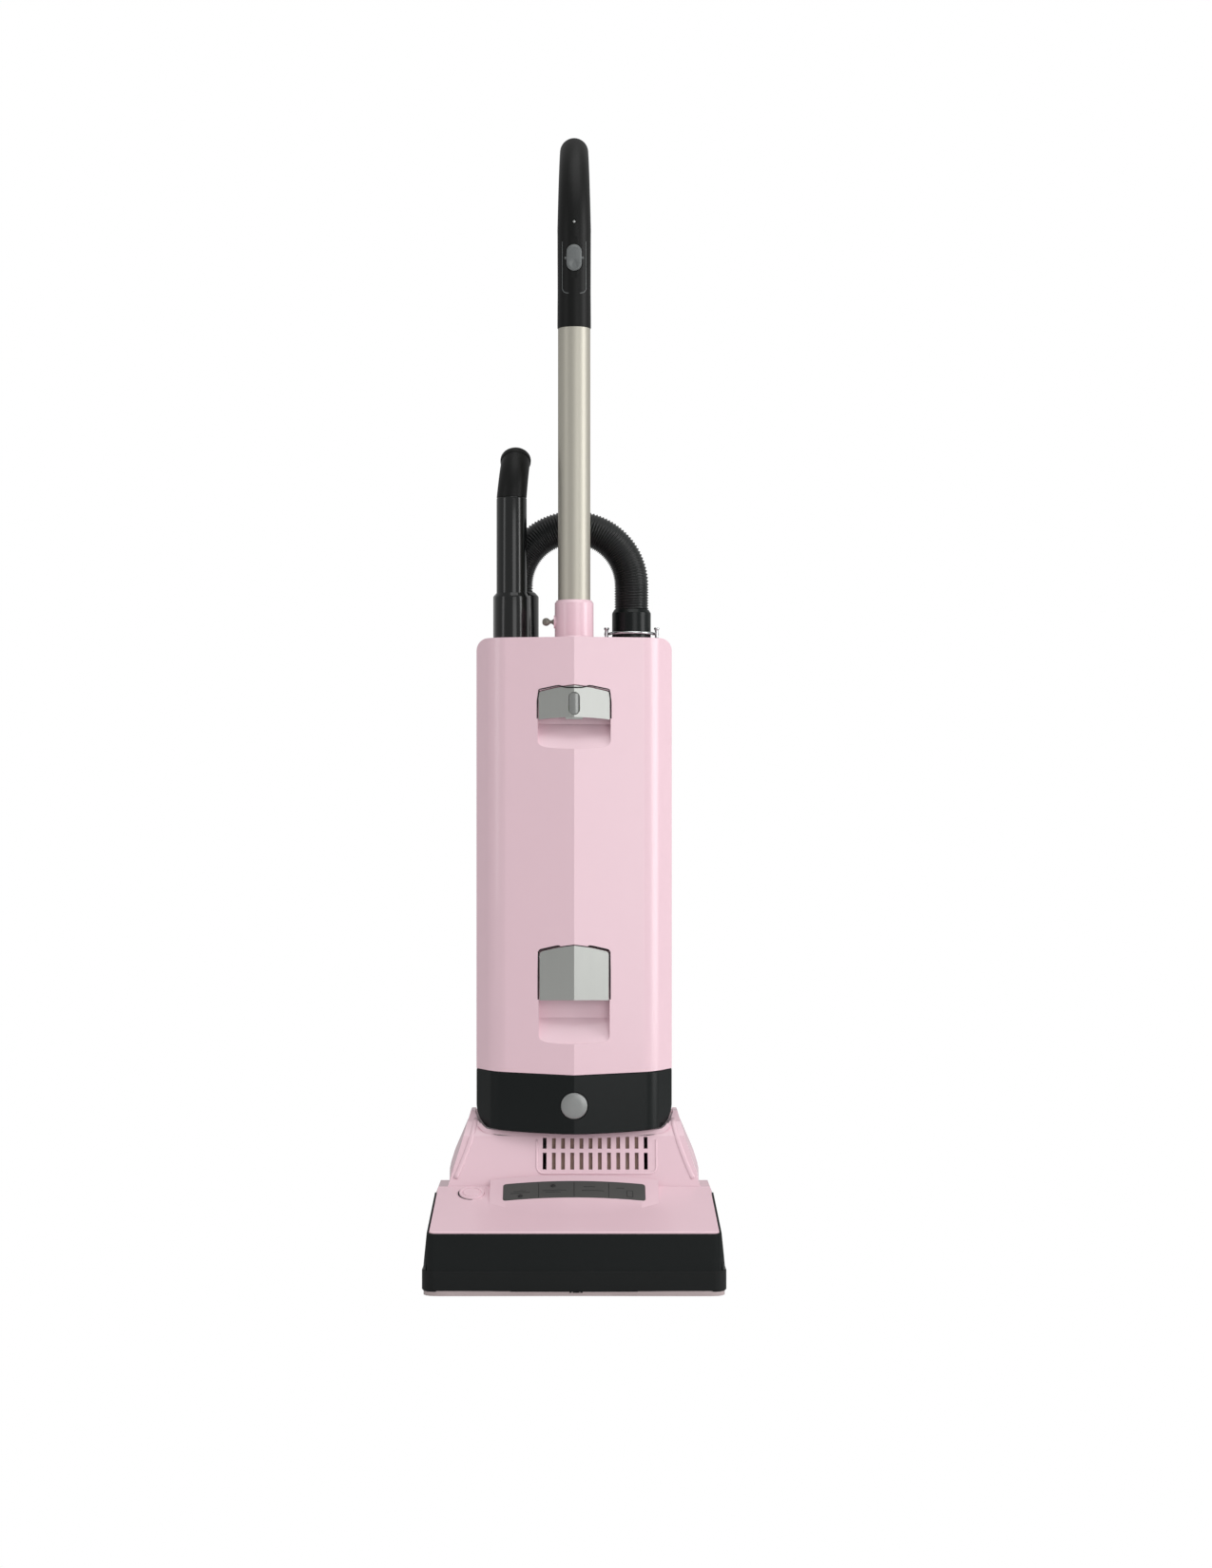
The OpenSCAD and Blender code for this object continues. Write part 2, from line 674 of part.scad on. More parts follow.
module hinge_pins() {
    color("#b7bbbd") for (s = [0, 1]) mirror([s, 0, 0]) {
        rod_x(38, 67, hinge_y, hinge_z, 8);
        rod_x(66, 69, hinge_y, hinge_z, 11);
    }
}

// ---------------------------------------------------------------- upper body

body_half = body_w / 2;
hose_x = body_half - hose_inset;                 // half the distance between the hose legs
back_y = ridge_y + body_d;
seam_y = ridge_y + door_d;                       // where the door meets the back half
body_low = hump_neck_z + 3;
chassis_z = body_low + 7;
facet_x = body_half - 20;
side_drop = 38;                                  // depth of the front's slanted corners
seam_gap = 0.4;
divider_z = 300;
motor_x = 12;
motor_back = back_y - 53.5;
housing_r = 48;
port_x = hose_x - 0.5;
port_y = back_y - 27.5;
wand_x = -hose_x - 0.5;
channel_r = wand_r + 2;
tube_y = back_y - 77.5;

// One half of the body's outline seen from above, drawn in by a margin.
function plan_half(i) = concat([[facet_x - 0.45 * i, ridge_y + facet_drop + i],
    [body_half - i, ridge_y + side_drop + 0.35 * i]],
    arc(body_half - 16, back_y - 16, 16 - i, 0, 90));

// The whole body as a solid, drawn in by a margin.
module body_block(i) {
    half = plan_half(i);
    intersection() {
        linear_extrude(body_top + 20)
            polygon(concat([[0, ridge_y + i]], half, [for (k = [len(half) - 1:-1:0])
                [-half[k][0], half[k][1]]]));
        along_y(ridge_y - 20, back_y + 20) polygon(rounded_box(body_half - i, body_low + i, body_top - i,
            12 - i, 28 - i));
    }
}

module chassis() {
    w = body_wall;
    color("#dfbcc4") difference() {
        union() {
            difference() {
                intersection() {
                    body_block(0);
                    box(-200, 200, seam_y, back_y + 1, chassis_z, body_top + 1);
                }
                intersection() {
                    body_block(w);
                    box(-200, 200, seam_y - 1, back_y, chassis_z + w, body_top - w);
                }
            }
            // tray that carries the exhaust filter
            box(-76, 76, ridge_y + 20, seam_y + eps, chassis_z, chassis_z + w);
            intersection() {
                body_block(1);
                union() {
                    box(-200, 200, seam_y, back_y, divider_z - w, divider_z);
                    rod_z(wand_x, port_y, chassis_z, body_top, channel_r + w);
                    box(wand_x - channel_r - w, wand_x + channel_r + w, port_y, back_y, chassis_z, body_top);
                }
            }
            // lugs of the wire clip
            for (s = [-1, 1]) clip_lug(s);
        }
        difference() {
            union() {
                rod_z(wand_x, port_y, chassis_z - 1, body_top + 1, channel_r);
                box(wand_x - channel_r, wand_x + channel_r, port_y, back_y + 1, chassis_z - 1, body_top + 1);
            }
            // port that the wand's foot plugs into
            rod_z(wand_x, port_y, wand_foot_z - 8, wand_foot_z + 36, channel_r + 1);
        }
        rod_z(wand_x, port_y, wand_foot_z - 0.3, wand_foot_z + 40, wand_r + 0.2);
        rod_z(wand_x, port_y, wand_foot_z - 9, wand_foot_z, wand_r - 4);
        // air ways through the floor, the divider and the deck
        box(-30, 30, hinge_y - 14, hinge_y + 14, chassis_z - 1, chassis_z + w + 1);
        rod_z(motor_x, motor_back, divider_z - w - 1, divider_z + 1, 34);
        rod_z(port_x, port_y, body_top - w - 1, body_top + 1, hose_r + 2.6);
        // pivot holes of the wire clip
        rod_x(port_x - 27 - 4, port_x + 27 + 4, port_y, clip_z, 1.55);
    }
}

clip_z = body_top + 12.5;
clip_r = 25;
wand_foot_z = 200;

module clip_lug(s) {
    x = port_x + s * (clip_r + 2.5);
    box(x - 1.5, x + 1.5, port_y - 5, port_y + 5, body_top - 1, clip_z + 3);
}

module wire_clip() {
    color("#c3c6c8") {
        intersection() {
            translate([port_x, port_y, clip_z]) rotate_extrude($fn = 96) translate([clip_r - 0.5, 0])
                circle(r = 1.5, $fn = 24);
            box(port_x - 40, port_x + 40, port_y - 60, port_y, clip_z - 5, clip_z + 5);
        }
        for (s = [-1, 1])
            translate([port_x, 0]) side_rod(s, clip_r - 2, clip_r + 5, port_y, clip_z, 1.5);
    }
}

module neck_yoke() {
    outer = 55;
    w = 4;
    color("#3a3f40") difference() {
        union() {
            rod_x(-outer, outer, hinge_y, hinge_z, 26);
            box(-outer, outer, hinge_y - 26, hinge_y + 26, hinge_z, chassis_z);
        }
        // hollow for the air way, closed by a wall round each hinge pin
        rod_x(-outer + 18, outer - 18, hinge_y, hinge_z, 26 - w);
        box(-outer + 18, outer - 18, hinge_y - 26 + w, hinge_y + 26 - w, hinge_z, chassis_z + 1);
        box(duct_x - 16, outer - 18, hinge_y - 30, hinge_y - 10, hinge_z - 14, hinge_z + 10);
        for (s = [-1, 1]) side_rod(s, outer - 19, outer + 1, hinge_y, hinge_z, 8 + run);
    }
}

cover_button_z = body_low + 30;
cover_button_r = 14;

module exhaust_cover() {
    w = body_wall;
    sag_r = 800;                                  // sweep of the lower edge
    color("#222525") difference() {
        union() {
            difference() {
                intersection() {
                    body_block(0);
                    box(-200, 200, ridge_y - 1, seam_y - seam_gap, body_low - 1, band_top);
                    along_y(ridge_y - 2, seam_y + 2) translate([0, body_low + sag_r])
                        circle(r = sag_r, $fn = 360);
                }
                intersection() {
                    body_block(w);
                    along_y(ridge_y - 2, seam_y + 2) translate([0, body_low + sag_r])
                        circle(r = sag_r - w, $fn = 360);
                }
            }
            intersection() {
                body_block(1);
                rod_y(0, ridge_y, ridge_y + 17, cover_button_z, cover_button_r + 3);
            }
        }
        rod_y(0, ridge_y - 2, ridge_y + 15, cover_button_z, cover_button_r + fit);
    }
}

module exhaust_button() {
    color("#b9bdbf") difference() {
        intersection() {
            body_block(-0.8);
            rod_y(0, ridge_y - 2, ridge_y + 9, cover_button_z, cover_button_r);
        }
        rod_y(0, ridge_y + 5, ridge_y + 10, cover_button_z, 7);
    }
}

module button_spring() {
    color("#b4b8ba") translate([0, ridge_y + 5, cover_button_z]) rotate([-90, 0, 0]) spring(5, 0.7, 10, 2);
}

module exhaust_filter() {
    color("#d9d6cf") difference() {
        box(-72, 72, ridge_y + 22, ridge_y + 39, chassis_z + body_wall, band_top - 4);
        for (i = [-6:6]) box(i * 10.5 - 2, i * 10.5 + 2, ridge_y + 21, ridge_y + 34,
            chassis_z + body_wall + 4, band_top - 8);
    }
}

module motor_housing() {
    z0 = chassis_z + body_wall;
    color("#2f3536") difference() {
        rod_z(motor_x, motor_back, z0, divider_z - body_wall, housing_r);
        rod_z(motor_x, motor_back, z0 + 8, divider_z, housing_r - 3);
        rod_z(motor_x, motor_back, z0 - 1, z0 + 9, 34);
        for (a = [180:20:320]) translate([motor_x, motor_back, 0]) rotate([0, 0, a])
            box(housing_r - 12, housing_r + 8, -4, 4, z0 + 14, z0 + 40);
    }
}

frame_z = chassis_z + body_wall + 8;
frame_h = 72;

module motor_frame() {
    color("#8a9093") translate([motor_x, motor_back, frame_z]) difference() {
        rod_z(0, 0, 0, frame_h, 40);
        rod_z(0, 0, 12, frame_h - 12, 37);
        rod_z(0, 0, 4, frame_h - 4, 11.02);
        rod_z(0, 0, -1, frame_h + 1, 6);
        for (a = [0:60:300]) rotate([0, 0, a]) {
            rod_z(26, 0, -1, 13, 7);
            rod_z(26, 0, frame_h - 13, frame_h + 1, 7);
        }
    }
}

module motor_bearings() {
    color("#a3a7a8") for (z = [frame_z + 4, frame_z + frame_h - 11]) difference() {
        rod_z(motor_x, motor_back, z, z + 7, 11);
        rod_z(motor_x, motor_back, z - 1, z + 8, 4 + run);
    }
}

module motor_armature() {
    color("#8f5b36") {
        rod_z(motor_x, motor_back, frame_z + 2, frame_z + frame_h + 36, 4);
        rod_z(motor_x, motor_back, frame_z + 15, frame_z + frame_h - 15, 26);
    }
}

module fan_impeller() {
    z = frame_z + frame_h + 14;
    color("#b9bdbf") difference() {
        union() {
            rod_z(motor_x, motor_back, z, z + 2, 43);
            rod_z(motor_x, motor_back, z, z + 14, 9);
            for (a = [0:40:320]) translate([motor_x, motor_back, 0]) rotate([0, 0, a])
                translate([0, 6, 0]) box(6, 41, 0, 1.5, z + 1, z + 12);
        }
        rod_z(motor_x, motor_back, z - 1, z + 15, 4.02);
    }
}

module motor_filter() {
    front_part = port_y - channel_r - body_wall - 1;  // in front of the wand's channel
    color("#e4e1da") difference() {
        union() {
            box(-80, 80, seam_y + 2, front_part, divider_z, divider_z + 8);
            box(wand_x + channel_r + body_wall + 3, 80, seam_y + 2, back_y - 13, divider_z, divider_z + 8);
        }
        for (i = [-7:7])
            box(i * 10 - 2, i * 10 + 2, seam_y + 6, i < -3 ? front_part - 4 : back_y - 17, divider_z + 3,
                divider_z + 9);
    }
}

bag_top = body_top - 37;

module dust_bag() {
    left = -body_half + 16;
    front = ridge_y + 27;
    step_y = port_y - channel_r - body_wall - 3;
    step_x = wand_x + channel_r + body_wall + 4;
    color("#e9e4d8") translate([0, 0, divider_z + 8.3]) linear_extrude(bag_top - divider_z - 8.3)
        polygon(concat([[step_x, step_y]], arc(left + 10, step_y - 10, 10, 90, 180),
            arc(left + 14, front + 14, 14, 180, 270),
            arc(-left - 14, front + 14, 14, 270, 360), arc(-left - 10, back_y - 17, 10, 0, 90),
                arc(step_x + 8, back_y - 15, 8, 90, 180)));
}

module bag_collar() {
    color("#f0ece2") difference() {
        box(port_x - 32, port_x + 32, port_y - 36, port_y + 21, bag_top + 0.3, bag_top + 3.3);
        rod_z(port_x, port_y, bag_top - 1, bag_top + 5, hose_r + 2.6);
    }
}

module inlet_port() {
    color("#232626") difference() {
        union() {
            rod_z(port_x, port_y, bag_top + 0.3, body_top + 7, hose_r + 2.5);
            rod_z(port_x, port_y, body_top - body_wall - 5, body_top - body_wall, hose_r + 5);
        }
        rod_z(port_x, port_y, bag_top - 1, body_top + 8, hose_r);
    }
}

// Latches: a plate over a finger recess, both outlined in the plane of X and Z.
upper_half = 37.5;
upper_low = body_top - 114;                      // foot of the upper finger recess
upper_plate = body_top - 87;                     // foot of the upper plate
upper_shoulder = body_top - 57;
upper_peak = body_top - 51;
lower_half = 36.5;
lower_low = band_top + 36;
lower_plate = lower_low + 42;
lower_shoulder = lower_low + 94;
lower_peak = lower_low + 100;
latch_gap = 1;
latch_sag = 3;                                   // bow of a recess's lower edge
pocket_d = 20;
latch_axis_y = ridge_y + 10;
upper_axis_z = upper_shoulder - 6;
lower_axis_z = lower_shoulder - 6;

module latch_outline(half, low, shoulder, peak, grow) {
    h = half + grow;
    r = 6;
    q = 4;
    top = shoulder + grow - q;
    crown = (shoulder + peak) / 2 + grow + 0.5;
    polygon(concat(arc(-h + r, low - grow + r, r, 180, 262),
        [for (t = [-0.8:0.2:0.81]) [t * h, low - grow - latch_sag * (1 - t * t)]],
        arc(h - r, low - grow + r, r, 278, 360), arc(h - q, top, q, 0, 80),
        [[h / 2, crown], [0, peak + grow], [-h / 2, crown]], arc(-h + q, top, q, 100, 180)));
}

// The recess: its floor slopes back from the lower lip.
module latch_recess(half, low, shoulder, peak, grow) {
    intersection() {
        along_y(ridge_y - 2, ridge_y + pocket_d + grow) latch_outline(half, low, shoulder, peak, grow);
        along_x(-half - grow, half + grow)
            polygon([[ridge_y - 2, low - grow - 6 - latch_sag], [ridge_y + 3, low - grow - latch_sag],
                [ridge_y + pocket_d + grow, low + 24 - grow],
                [ridge_y + pocket_d + grow, peak + grow], [ridge_y - 2, peak + grow]]);
    }
}

module door_latch_cut(half, low, shoulder, peak) {
    latch_recess(half, low, shoulder, peak, latch_gap);
    // room above the plate's top edge, behind a thin lip
    intersection() {
        body_block(1);
        along_y(ridge_y, ridge_y + pocket_d) intersection() {
            translate([0, 3]) latch_outline(half, low, shoulder, peak, latch_gap);
            translate([-half, shoulder - 8]) square([2 * half, 40]);
        }
    }
}

module front_door() {
    w = body_wall;
    low = band_top + 0.6;
    color("#e3c6cd") difference() {
        union() {
            difference() {
                intersection() {
                    body_block(0);
                    box(-200, 200, ridge_y - 1, seam_y - seam_gap, low, body_top + 1);
                }
                intersection() {
                    body_block(w);
                    box(-200, 200, ridge_y, seam_y, low + w, body_top - w);
                }
            }
            intersection() {
                body_block(1);
                union() {
                    latch_recess(upper_half, upper_low, upper_shoulder + 3, upper_peak + 3, latch_gap + 2);
                    latch_recess(lower_half, lower_low, lower_shoulder + 3, lower_peak + 3, latch_gap + 2);
                }
            }
        }
        door_latch_cut(upper_half, upper_low, upper_shoulder, upper_peak);
        door_latch_cut(lower_half, lower_low, lower_shoulder, lower_peak);
        rod_x(-upper_half - 4, upper_half + 4, latch_axis_y, upper_axis_z, 1.52);
        rod_x(-lower_half - 4, lower_half + 4, latch_axis_y, lower_axis_z, 1.52);
    }
}

module door_seal() {
    color("#2b2b2b") difference() {
        intersection() {
            body_block(body_wall + 0.2);
            box(-200, 200, seam_y - 1.5, seam_y + 2, divider_z + 0.1, body_top);
        }
        intersection() {
            body_block(body_wall + 3);
            box(-200, 200, seam_y - 2, seam_y + 3, divider_z + 3, body_top);
        }
    }
}

// A latch plate that follows the front's crease, with a lug for its pin at each side.
module latch_plate(half, foot, rise, low, shoulder, peak, axis_z) {
    difference() {
        union() {
            intersection() {
                difference() {
                    body_block(0.8);
                    body_block(0.8 + body_wall);
                }
                along_y(ridge_y - 1, ridge_y + 20) intersection() {
                    latch_outline(half, low, shoulder, peak, 0);
                    polygon(concat([for (t = [-1:0.2:1.01]) [t * half, foot + rise * (1 - t * t)]],
                        [[half, peak + 1], [-half, peak + 1]]));
                }
            }
            for (s = [-1, 1])
                side_box(s, half - 5, half - 1, latch_axis_y - 4, latch_axis_y + 3.5, axis_z - 5, axis_z + 4);
        }
        rod_x(-half - 1, half + 1, latch_axis_y, axis_z, 1.55);
    }
}

window_z = upper_plate + 17;

module capsule(r, long) {
    for (z = [-long / 2 + r, long / 2 - r]) translate([0, window_z + z]) circle(r = r, $fn = 48);
    translate([-r, window_z - long / 2 + r]) square([2 * r, long - 2 * r]);
}

module upper_latch() {
    color("#a9adae") difference() {
        union() {
            latch_plate(upper_half, upper_plate, 2.5, upper_low, upper_shoulder, upper_peak, upper_axis_z);
            box(-9, 9, ridge_y + 3, ridge_y + 10, upper_plate + 0.5, window_z + 15);
        }
        along_y(ridge_y - 1, ridge_y + 5) capsule(6, 24.5);
        box(-7, 7, ridge_y + 3.8, ridge_y + 8, upper_plate + 3, window_z + 13.5);
    }
}

module lower_latch() {
    color("#a2a6a8") latch_plate(lower_half, lower_plate, 0.3, lower_low, lower_shoulder, lower_peak,
        lower_axis_z);
}

module latch_pins() {
    color("#8e9294") for (s = [-1, 1]) {
        side_rod(s, upper_half - 6, upper_half + 2.7, latch_axis_y, upper_axis_z, 1.5);
        side_rod(s, lower_half - 6, lower_half + 2.7, latch_axis_y, lower_axis_z, 1.5);
    }
}

module indicator_lens() {
    color("#cfd6d8") along_y(ridge_y + 1.8, ridge_y + 3.6) capsule(5.95, 24.4);
}

module indicator_flag() {
    color("#7fa05a") box(-6.7, 6.7, ridge_y + 5, ridge_y + 7.9, upper_plate + 3.1, upper_plate + 15);
}

// ---------------------------------------------------------------- handle

socket_top = body_top + 45;
socket_r = tube_r + 3.5;
screw_z = body_top + 22;
grip_low = tube_top;
bend_z = grip_low + grip_stem;

module tube_socket() {
    color("#dcb6be") difference() {
        union() {
            rod_z(0, tube_y, body_top, socket_top - 3, socket_r);
            translate([0, tube_y, socket_top - 3]) cylinder(r1 = socket_r, r2 = socket_r - 2, h = 3,
                $fn = 64);
            translate([0, tube_y, body_top]) cylinder(r1 = socket_r + 5, r2 = socket_r, h = 6, $fn = 64);
            rod_x(-socket_r - 1, -tube_r - 1, tube_y, screw_z, 7);
        }
        rod_z(0, tube_y, body_top + 3, socket_top + 1, tube_r + 0.1);
        rod_x(-socket_r - 3, -tube_r + 2, tube_y, screw_z, 3 + run);
    }
}

module thumb_screw() {
    head = -socket_r - 1.5;
    color("#5a5f60") difference() {
        union() {
            rod_x(head - 1, -tube_r - 0.3, tube_y, screw_z, 3);
            rod_x(head - 4, head, tube_y, screw_z, 8);
            intersection() {
                box(head - 12, head - 3.5, tube_y - 12, tube_y + 12, screw_z - 3.5, screw_z + 3.5);
                rod_x(head - 13, head, tube_y, screw_z, 11.5);
            }
        }
    }
}

module handle_tube() {
    color("#cfcbc3") difference() {
        rod_z(0, tube_y, body_top + 3, tube_top, tube_r);
        rod_z(0, tube_y, body_top + 2, tube_top + 1, tube_r - tube_wall);
    }
}

// The grip's centre line: up the stem, then back in a curve. Each point is y, z, radius, lean.
function grip_path() = let (r = 120, top_z = bend_z + 30) concat(
    [[0, grip_low - 30, tube_r - tube_wall - 0.1, 0], [0, grip_low + 0.1, tube_r - tube_wall - 0.1, 0],
    [0, grip_low + 0.11, tube_r + 0.2, 0], [0, grip_low + 2, tube_r + 0.7, 0],
        [0, bend_z - 18, tube_r + 0.7, 0]],
    [for (i = [0:9]) let (a = 54 * i / 9) [r * (1 - cos(a)), bend_z - 6 + r * sin(a),
        tube_r + 0.7 - 2.6 * i / 9, a]],
    [for (i = [1:5]) let (a = 54, k = 15 * sin(i * 18))
        [r * (1 - cos(a)) + k * sin(a), bend_z - 6 + r * sin(a) + k * cos(a),
        (tube_r - 1.9) * max(0.12, sqrt(1 - pow(k / 15.05, 2))), a]]);

module handle_grip() {
    sides = 32;
    ring = [for (p = grip_path()) [for (k = [0:sides - 1]) let (b = 360 * k / sides)
        [p[2] * cos(b), tube_y + p[0] + p[2] * sin(b) * cos(p[3]), p[1] - p[2] * sin(b) * sin(p[3])]]];
    color("#1d2020") difference() {
        union() {
            tube_mesh(ring, sides);
            // boss of the swivelling cable hook
            rod_y(0, tube_y + 8, tube_y + 25, hook_z, 10);
        }
        rod_y(0, tube_y + 7, tube_y + 26, hook_z, 4 + run);
        along_y(tube_y - 30, rocker_y + 9) rocker_outline(0.7);
        rod_x(-10.6, 10.6, rocker_y + 4, rocker_z, 1.55);
        // seat of the cord gland
        translate([0, tube_y, gland_z]) rotate([-120, 0, 0]) rod_z(0, 0, 8, 40, 5);
    }
}

hook_z = grip_low + 60;
rocker_y = tube_y - tube_r - 1.2;                // front face of the rocker
rocker_z = grip_low + 74;
rocker_r = 8.3;
gland_z = grip_low + 20;

module rocker_outline(grow) {
    for (z = [-1, 1]) translate([0, rocker_z + z * 5.9]) circle(r = rocker_r + grow, $fn = 48);
    translate([-rocker_r - grow, rocker_z - 5.9]) square([2 * (rocker_r + grow), 11.8]);
}

module switch_rocker() {
    color("#6d7374") {
        along_y(rocker_y, rocker_y + 6) rocker_outline(0);
        rod_x(-10.4, 10.4, rocker_y + 4, rocker_z, 1.5);
    }
}

module cord_gland() {
    color("#17191a") translate([0, tube_y, gland_z]) rotate([-120, 0, 0]) difference() {
        union() {
            rod_z(0, 0, 8.3, 26, 4.95);
            translate([0, 0, 26]) cylinder(r1 = 7, r2 = 5, h = 8, $fn = 48);
        }
        rod_z(0, 0, 8, 35, 3.2);
    }
}

module upper_cable_hook() {
    y = tube_y + 25.3;
    color("#1f2222") {
        rod_y(0, tube_y + 10, y + 1, hook_z, 4);
        rod_y(0, y, y + 4, hook_z, 9);
        box(-6, 6, y, y + 4, hook_z, hook_z + 46);
        box(-6, 6, y, y + 24, hook_z + 42, hook_z + 46);
        box(-6, 6, y + 20, y + 24, hook_z + 42, hook_z + 60);
    }
}

lower_hook_z = band_top + 20;

module lower_cable_hook() {
    x = 20;
    color("#1f2222") {
        box(x - 14, x + 14, back_y, back_y + 4, lower_hook_z - 24, lower_hook_z + 24);
        box(x - 9, x + 9, back_y + 3, back_y + 30, lower_hook_z, lower_hook_z + 5);
        box(x - 9, x + 9, back_y + 26, back_y + 30, lower_hook_z - 18, lower_hook_z + 5);
    }
}

// ---------------------------------------------------------------- hose and wand

cuff_top = body_top + 39;
wand_low = body_top + 4;
collar_top = body_top + 58;
arch_z = body_top + 66;
bore_r = hose_r - 4;
hose_low_right = cuff_top - 10;
hose_low_left = collar_top - 9.7;

module hose_cuff() {
    color("#232626") difference() {
        union() {
            rod_z(port_x, port_y, body_top + 7, cuff_top - 4, hose_r + 3.3);
            translate([port_x, port_y, cuff_top - 4])
                cylinder(r1 = hose_r + 3.3, r2 = hose_r + 1, h = 4, $fn = 64);
        }
        rod_z(port_x, port_y, cuff_top - 10.2, cuff_top + 1, hose_r + 0.3);
        rod_z(port_x, port_y, body_top + 6, cuff_top, bore_r);
    }
}

// The centre line of the hose as a fraction t of its length: from the cuff, round the arch, to the wand.
function hose_length() = (arch_z - hose_low_right) + PI * hose_x + (arch_z - hose_low_left);
function hose_point(t) = let (d = t * hose_length(), up = arch_z - hose_low_right, round = PI * hose_x)
    d < up ? [port_x, hose_low_right + d, 0] :
    d < up + round ? let (a = 180 * (d - up) / round)
        [port_x - hose_x + hose_x * cos(a), arch_z + hose_x * sin(a), a] :
    [port_x - 2 * hose_x, arch_z - (d - up - round), 180];

// Rings of points along the hose, each with its own radius.
function hose_rings(radii, count) = [for (i = [0:count]) let (p = hose_point(i / count), r = radii[i % 2])
    [for (k = [0:7]) let (b = 45 * k + 22.5) [p[0] + r * cos(b) * cos(p[2]), port_y + r * sin(b),
        p[1] + r * cos(b) * sin(p[2])]]];

module hose() {
    ribs = round(hose_length() / hose_pitch);
    color("#1b1d1d") difference() {
        tube_mesh(hose_rings([hose_r - 1.8, hose_r], 2 * ribs), 8);
        hose_bore(ribs);
    }
}

module hose_bore(ribs) {
    rings = hose_rings([bore_r, bore_r], ribs);
    first = [for (p = rings[0]) p - [0, 0, 1]];
    last = [for (p = rings[ribs]) p - [0, 0, 1]];
    tube_mesh(concat([first], rings, [last]), 8);
}

module wand_tube() {
    color("#26292a") difference() {
        rod_z(wand_x, port_y, wand_foot_z, collar_top - 10, wand_r);
        rod_z(wand_x, port_y, wand_foot_z - 1, collar_top, wand_r - 2);
    }
}

stem_x = wand_x - 4;
stem_y = port_y - 34;
stem_r = 16;
stem_bend = body_top + 158;

function stem_path() = let (r = 60) concat(
    [[0, wand_low + 30, stem_r + 2, 0], [0, wand_low + 54, stem_r + 2, 0], [0, wand_low + 62, stem_r, 0],
        [0, stem_bend, stem_r, 0]],
    [for (i = [1:6]) let (a = 42 * i / 6) [r * (1 - cos(a)), stem_bend + r * sin(a), stem_r - 0.5 * i / 6,
        a]],
    [for (i = [1:5]) let (a = 42, k = 12 * sin(i * 18))
        [r * (1 - cos(a)) + k * sin(a), stem_bend + r * sin(a) + k * cos(a),
        (stem_r - 0.5) * max(0.12, sqrt(1 - pow(k / 12.05, 2))), a]]);

module wand_grip() {
    sides = 32;
    ring = [for (p = stem_path()) [for (k = [0:sides - 1]) let (b = 360 * k / sides)
        [stem_x + p[2] * cos(b) + 6 * max(0, p[1] - stem_bend) / 60,
            stem_y + p[0] + p[2] * sin(b) * cos(p[3]), p[1] - p[2] * sin(b) * sin(p[3])]]];
    color("#1f2222") difference() {
        union() {
            rod_z(wand_x, port_y, wand_low, collar_top - 5, wand_r + 7.5);
            translate([wand_x, port_y, collar_top - 5])
                cylinder(r1 = wand_r + 7.5, r2 = wand_r + 3, h = 5, $fn = 64);
            rod_z(stem_x, stem_y, wand_low, wand_low + 46, stem_r + 4);
            translate([stem_x, stem_y, wand_low + 46])
                cylinder(r1 = stem_r + 4, r2 = stem_r + 1, h = 4, $fn = 64);
            tube_mesh(ring, sides);
        }
        rod_z(wand_x, port_y, wand_low - 1, collar_top - 9.5, wand_r + 0.02);
        rod_z(wand_x, port_y, collar_top - 10, collar_top + 1, hose_r + 0.5);
    }
}

head_base();
sole_plate();
bumper_strip();
head_cover();
indicator_panel();
hump_cover();
head_screws();
brush_core();
brush_bristles();
brush_pulley();
brush_bearings();
drive_belt();
brush_motor();
brush_motor_shaft();
head_duct();
head_button();
head_button_spring();
wheel_left();
tyre_left();
wheel_right();
tyre_right();
axles();
front_roller();
foot_pedal();
hinge_pins();
chassis();
neck_yoke();
exhaust_cover();
exhaust_button();
button_spring();
exhaust_filter();
motor_housing();
motor_frame();
motor_bearings();
motor_armature();
fan_impeller();
motor_filter();
dust_bag();
bag_collar();
inlet_port();
front_door();
door_seal();
upper_latch();
lower_latch();
latch_pins();
indicator_lens();
indicator_flag();
tube_socket();
thumb_screw();
handle_tube();
handle_grip();
switch_rocker();
cord_gland();
upper_cable_hook();
lower_cable_hook();
hose_cuff();
hose();
wand_tube();
wand_grip();
wire_clip();
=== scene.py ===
"""Upright vacuum cleaner: rounded shells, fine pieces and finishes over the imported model."""

import json
import math
import random

import bmesh
import bpy
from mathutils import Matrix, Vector
from mathutils.bvhtree import BVHTree


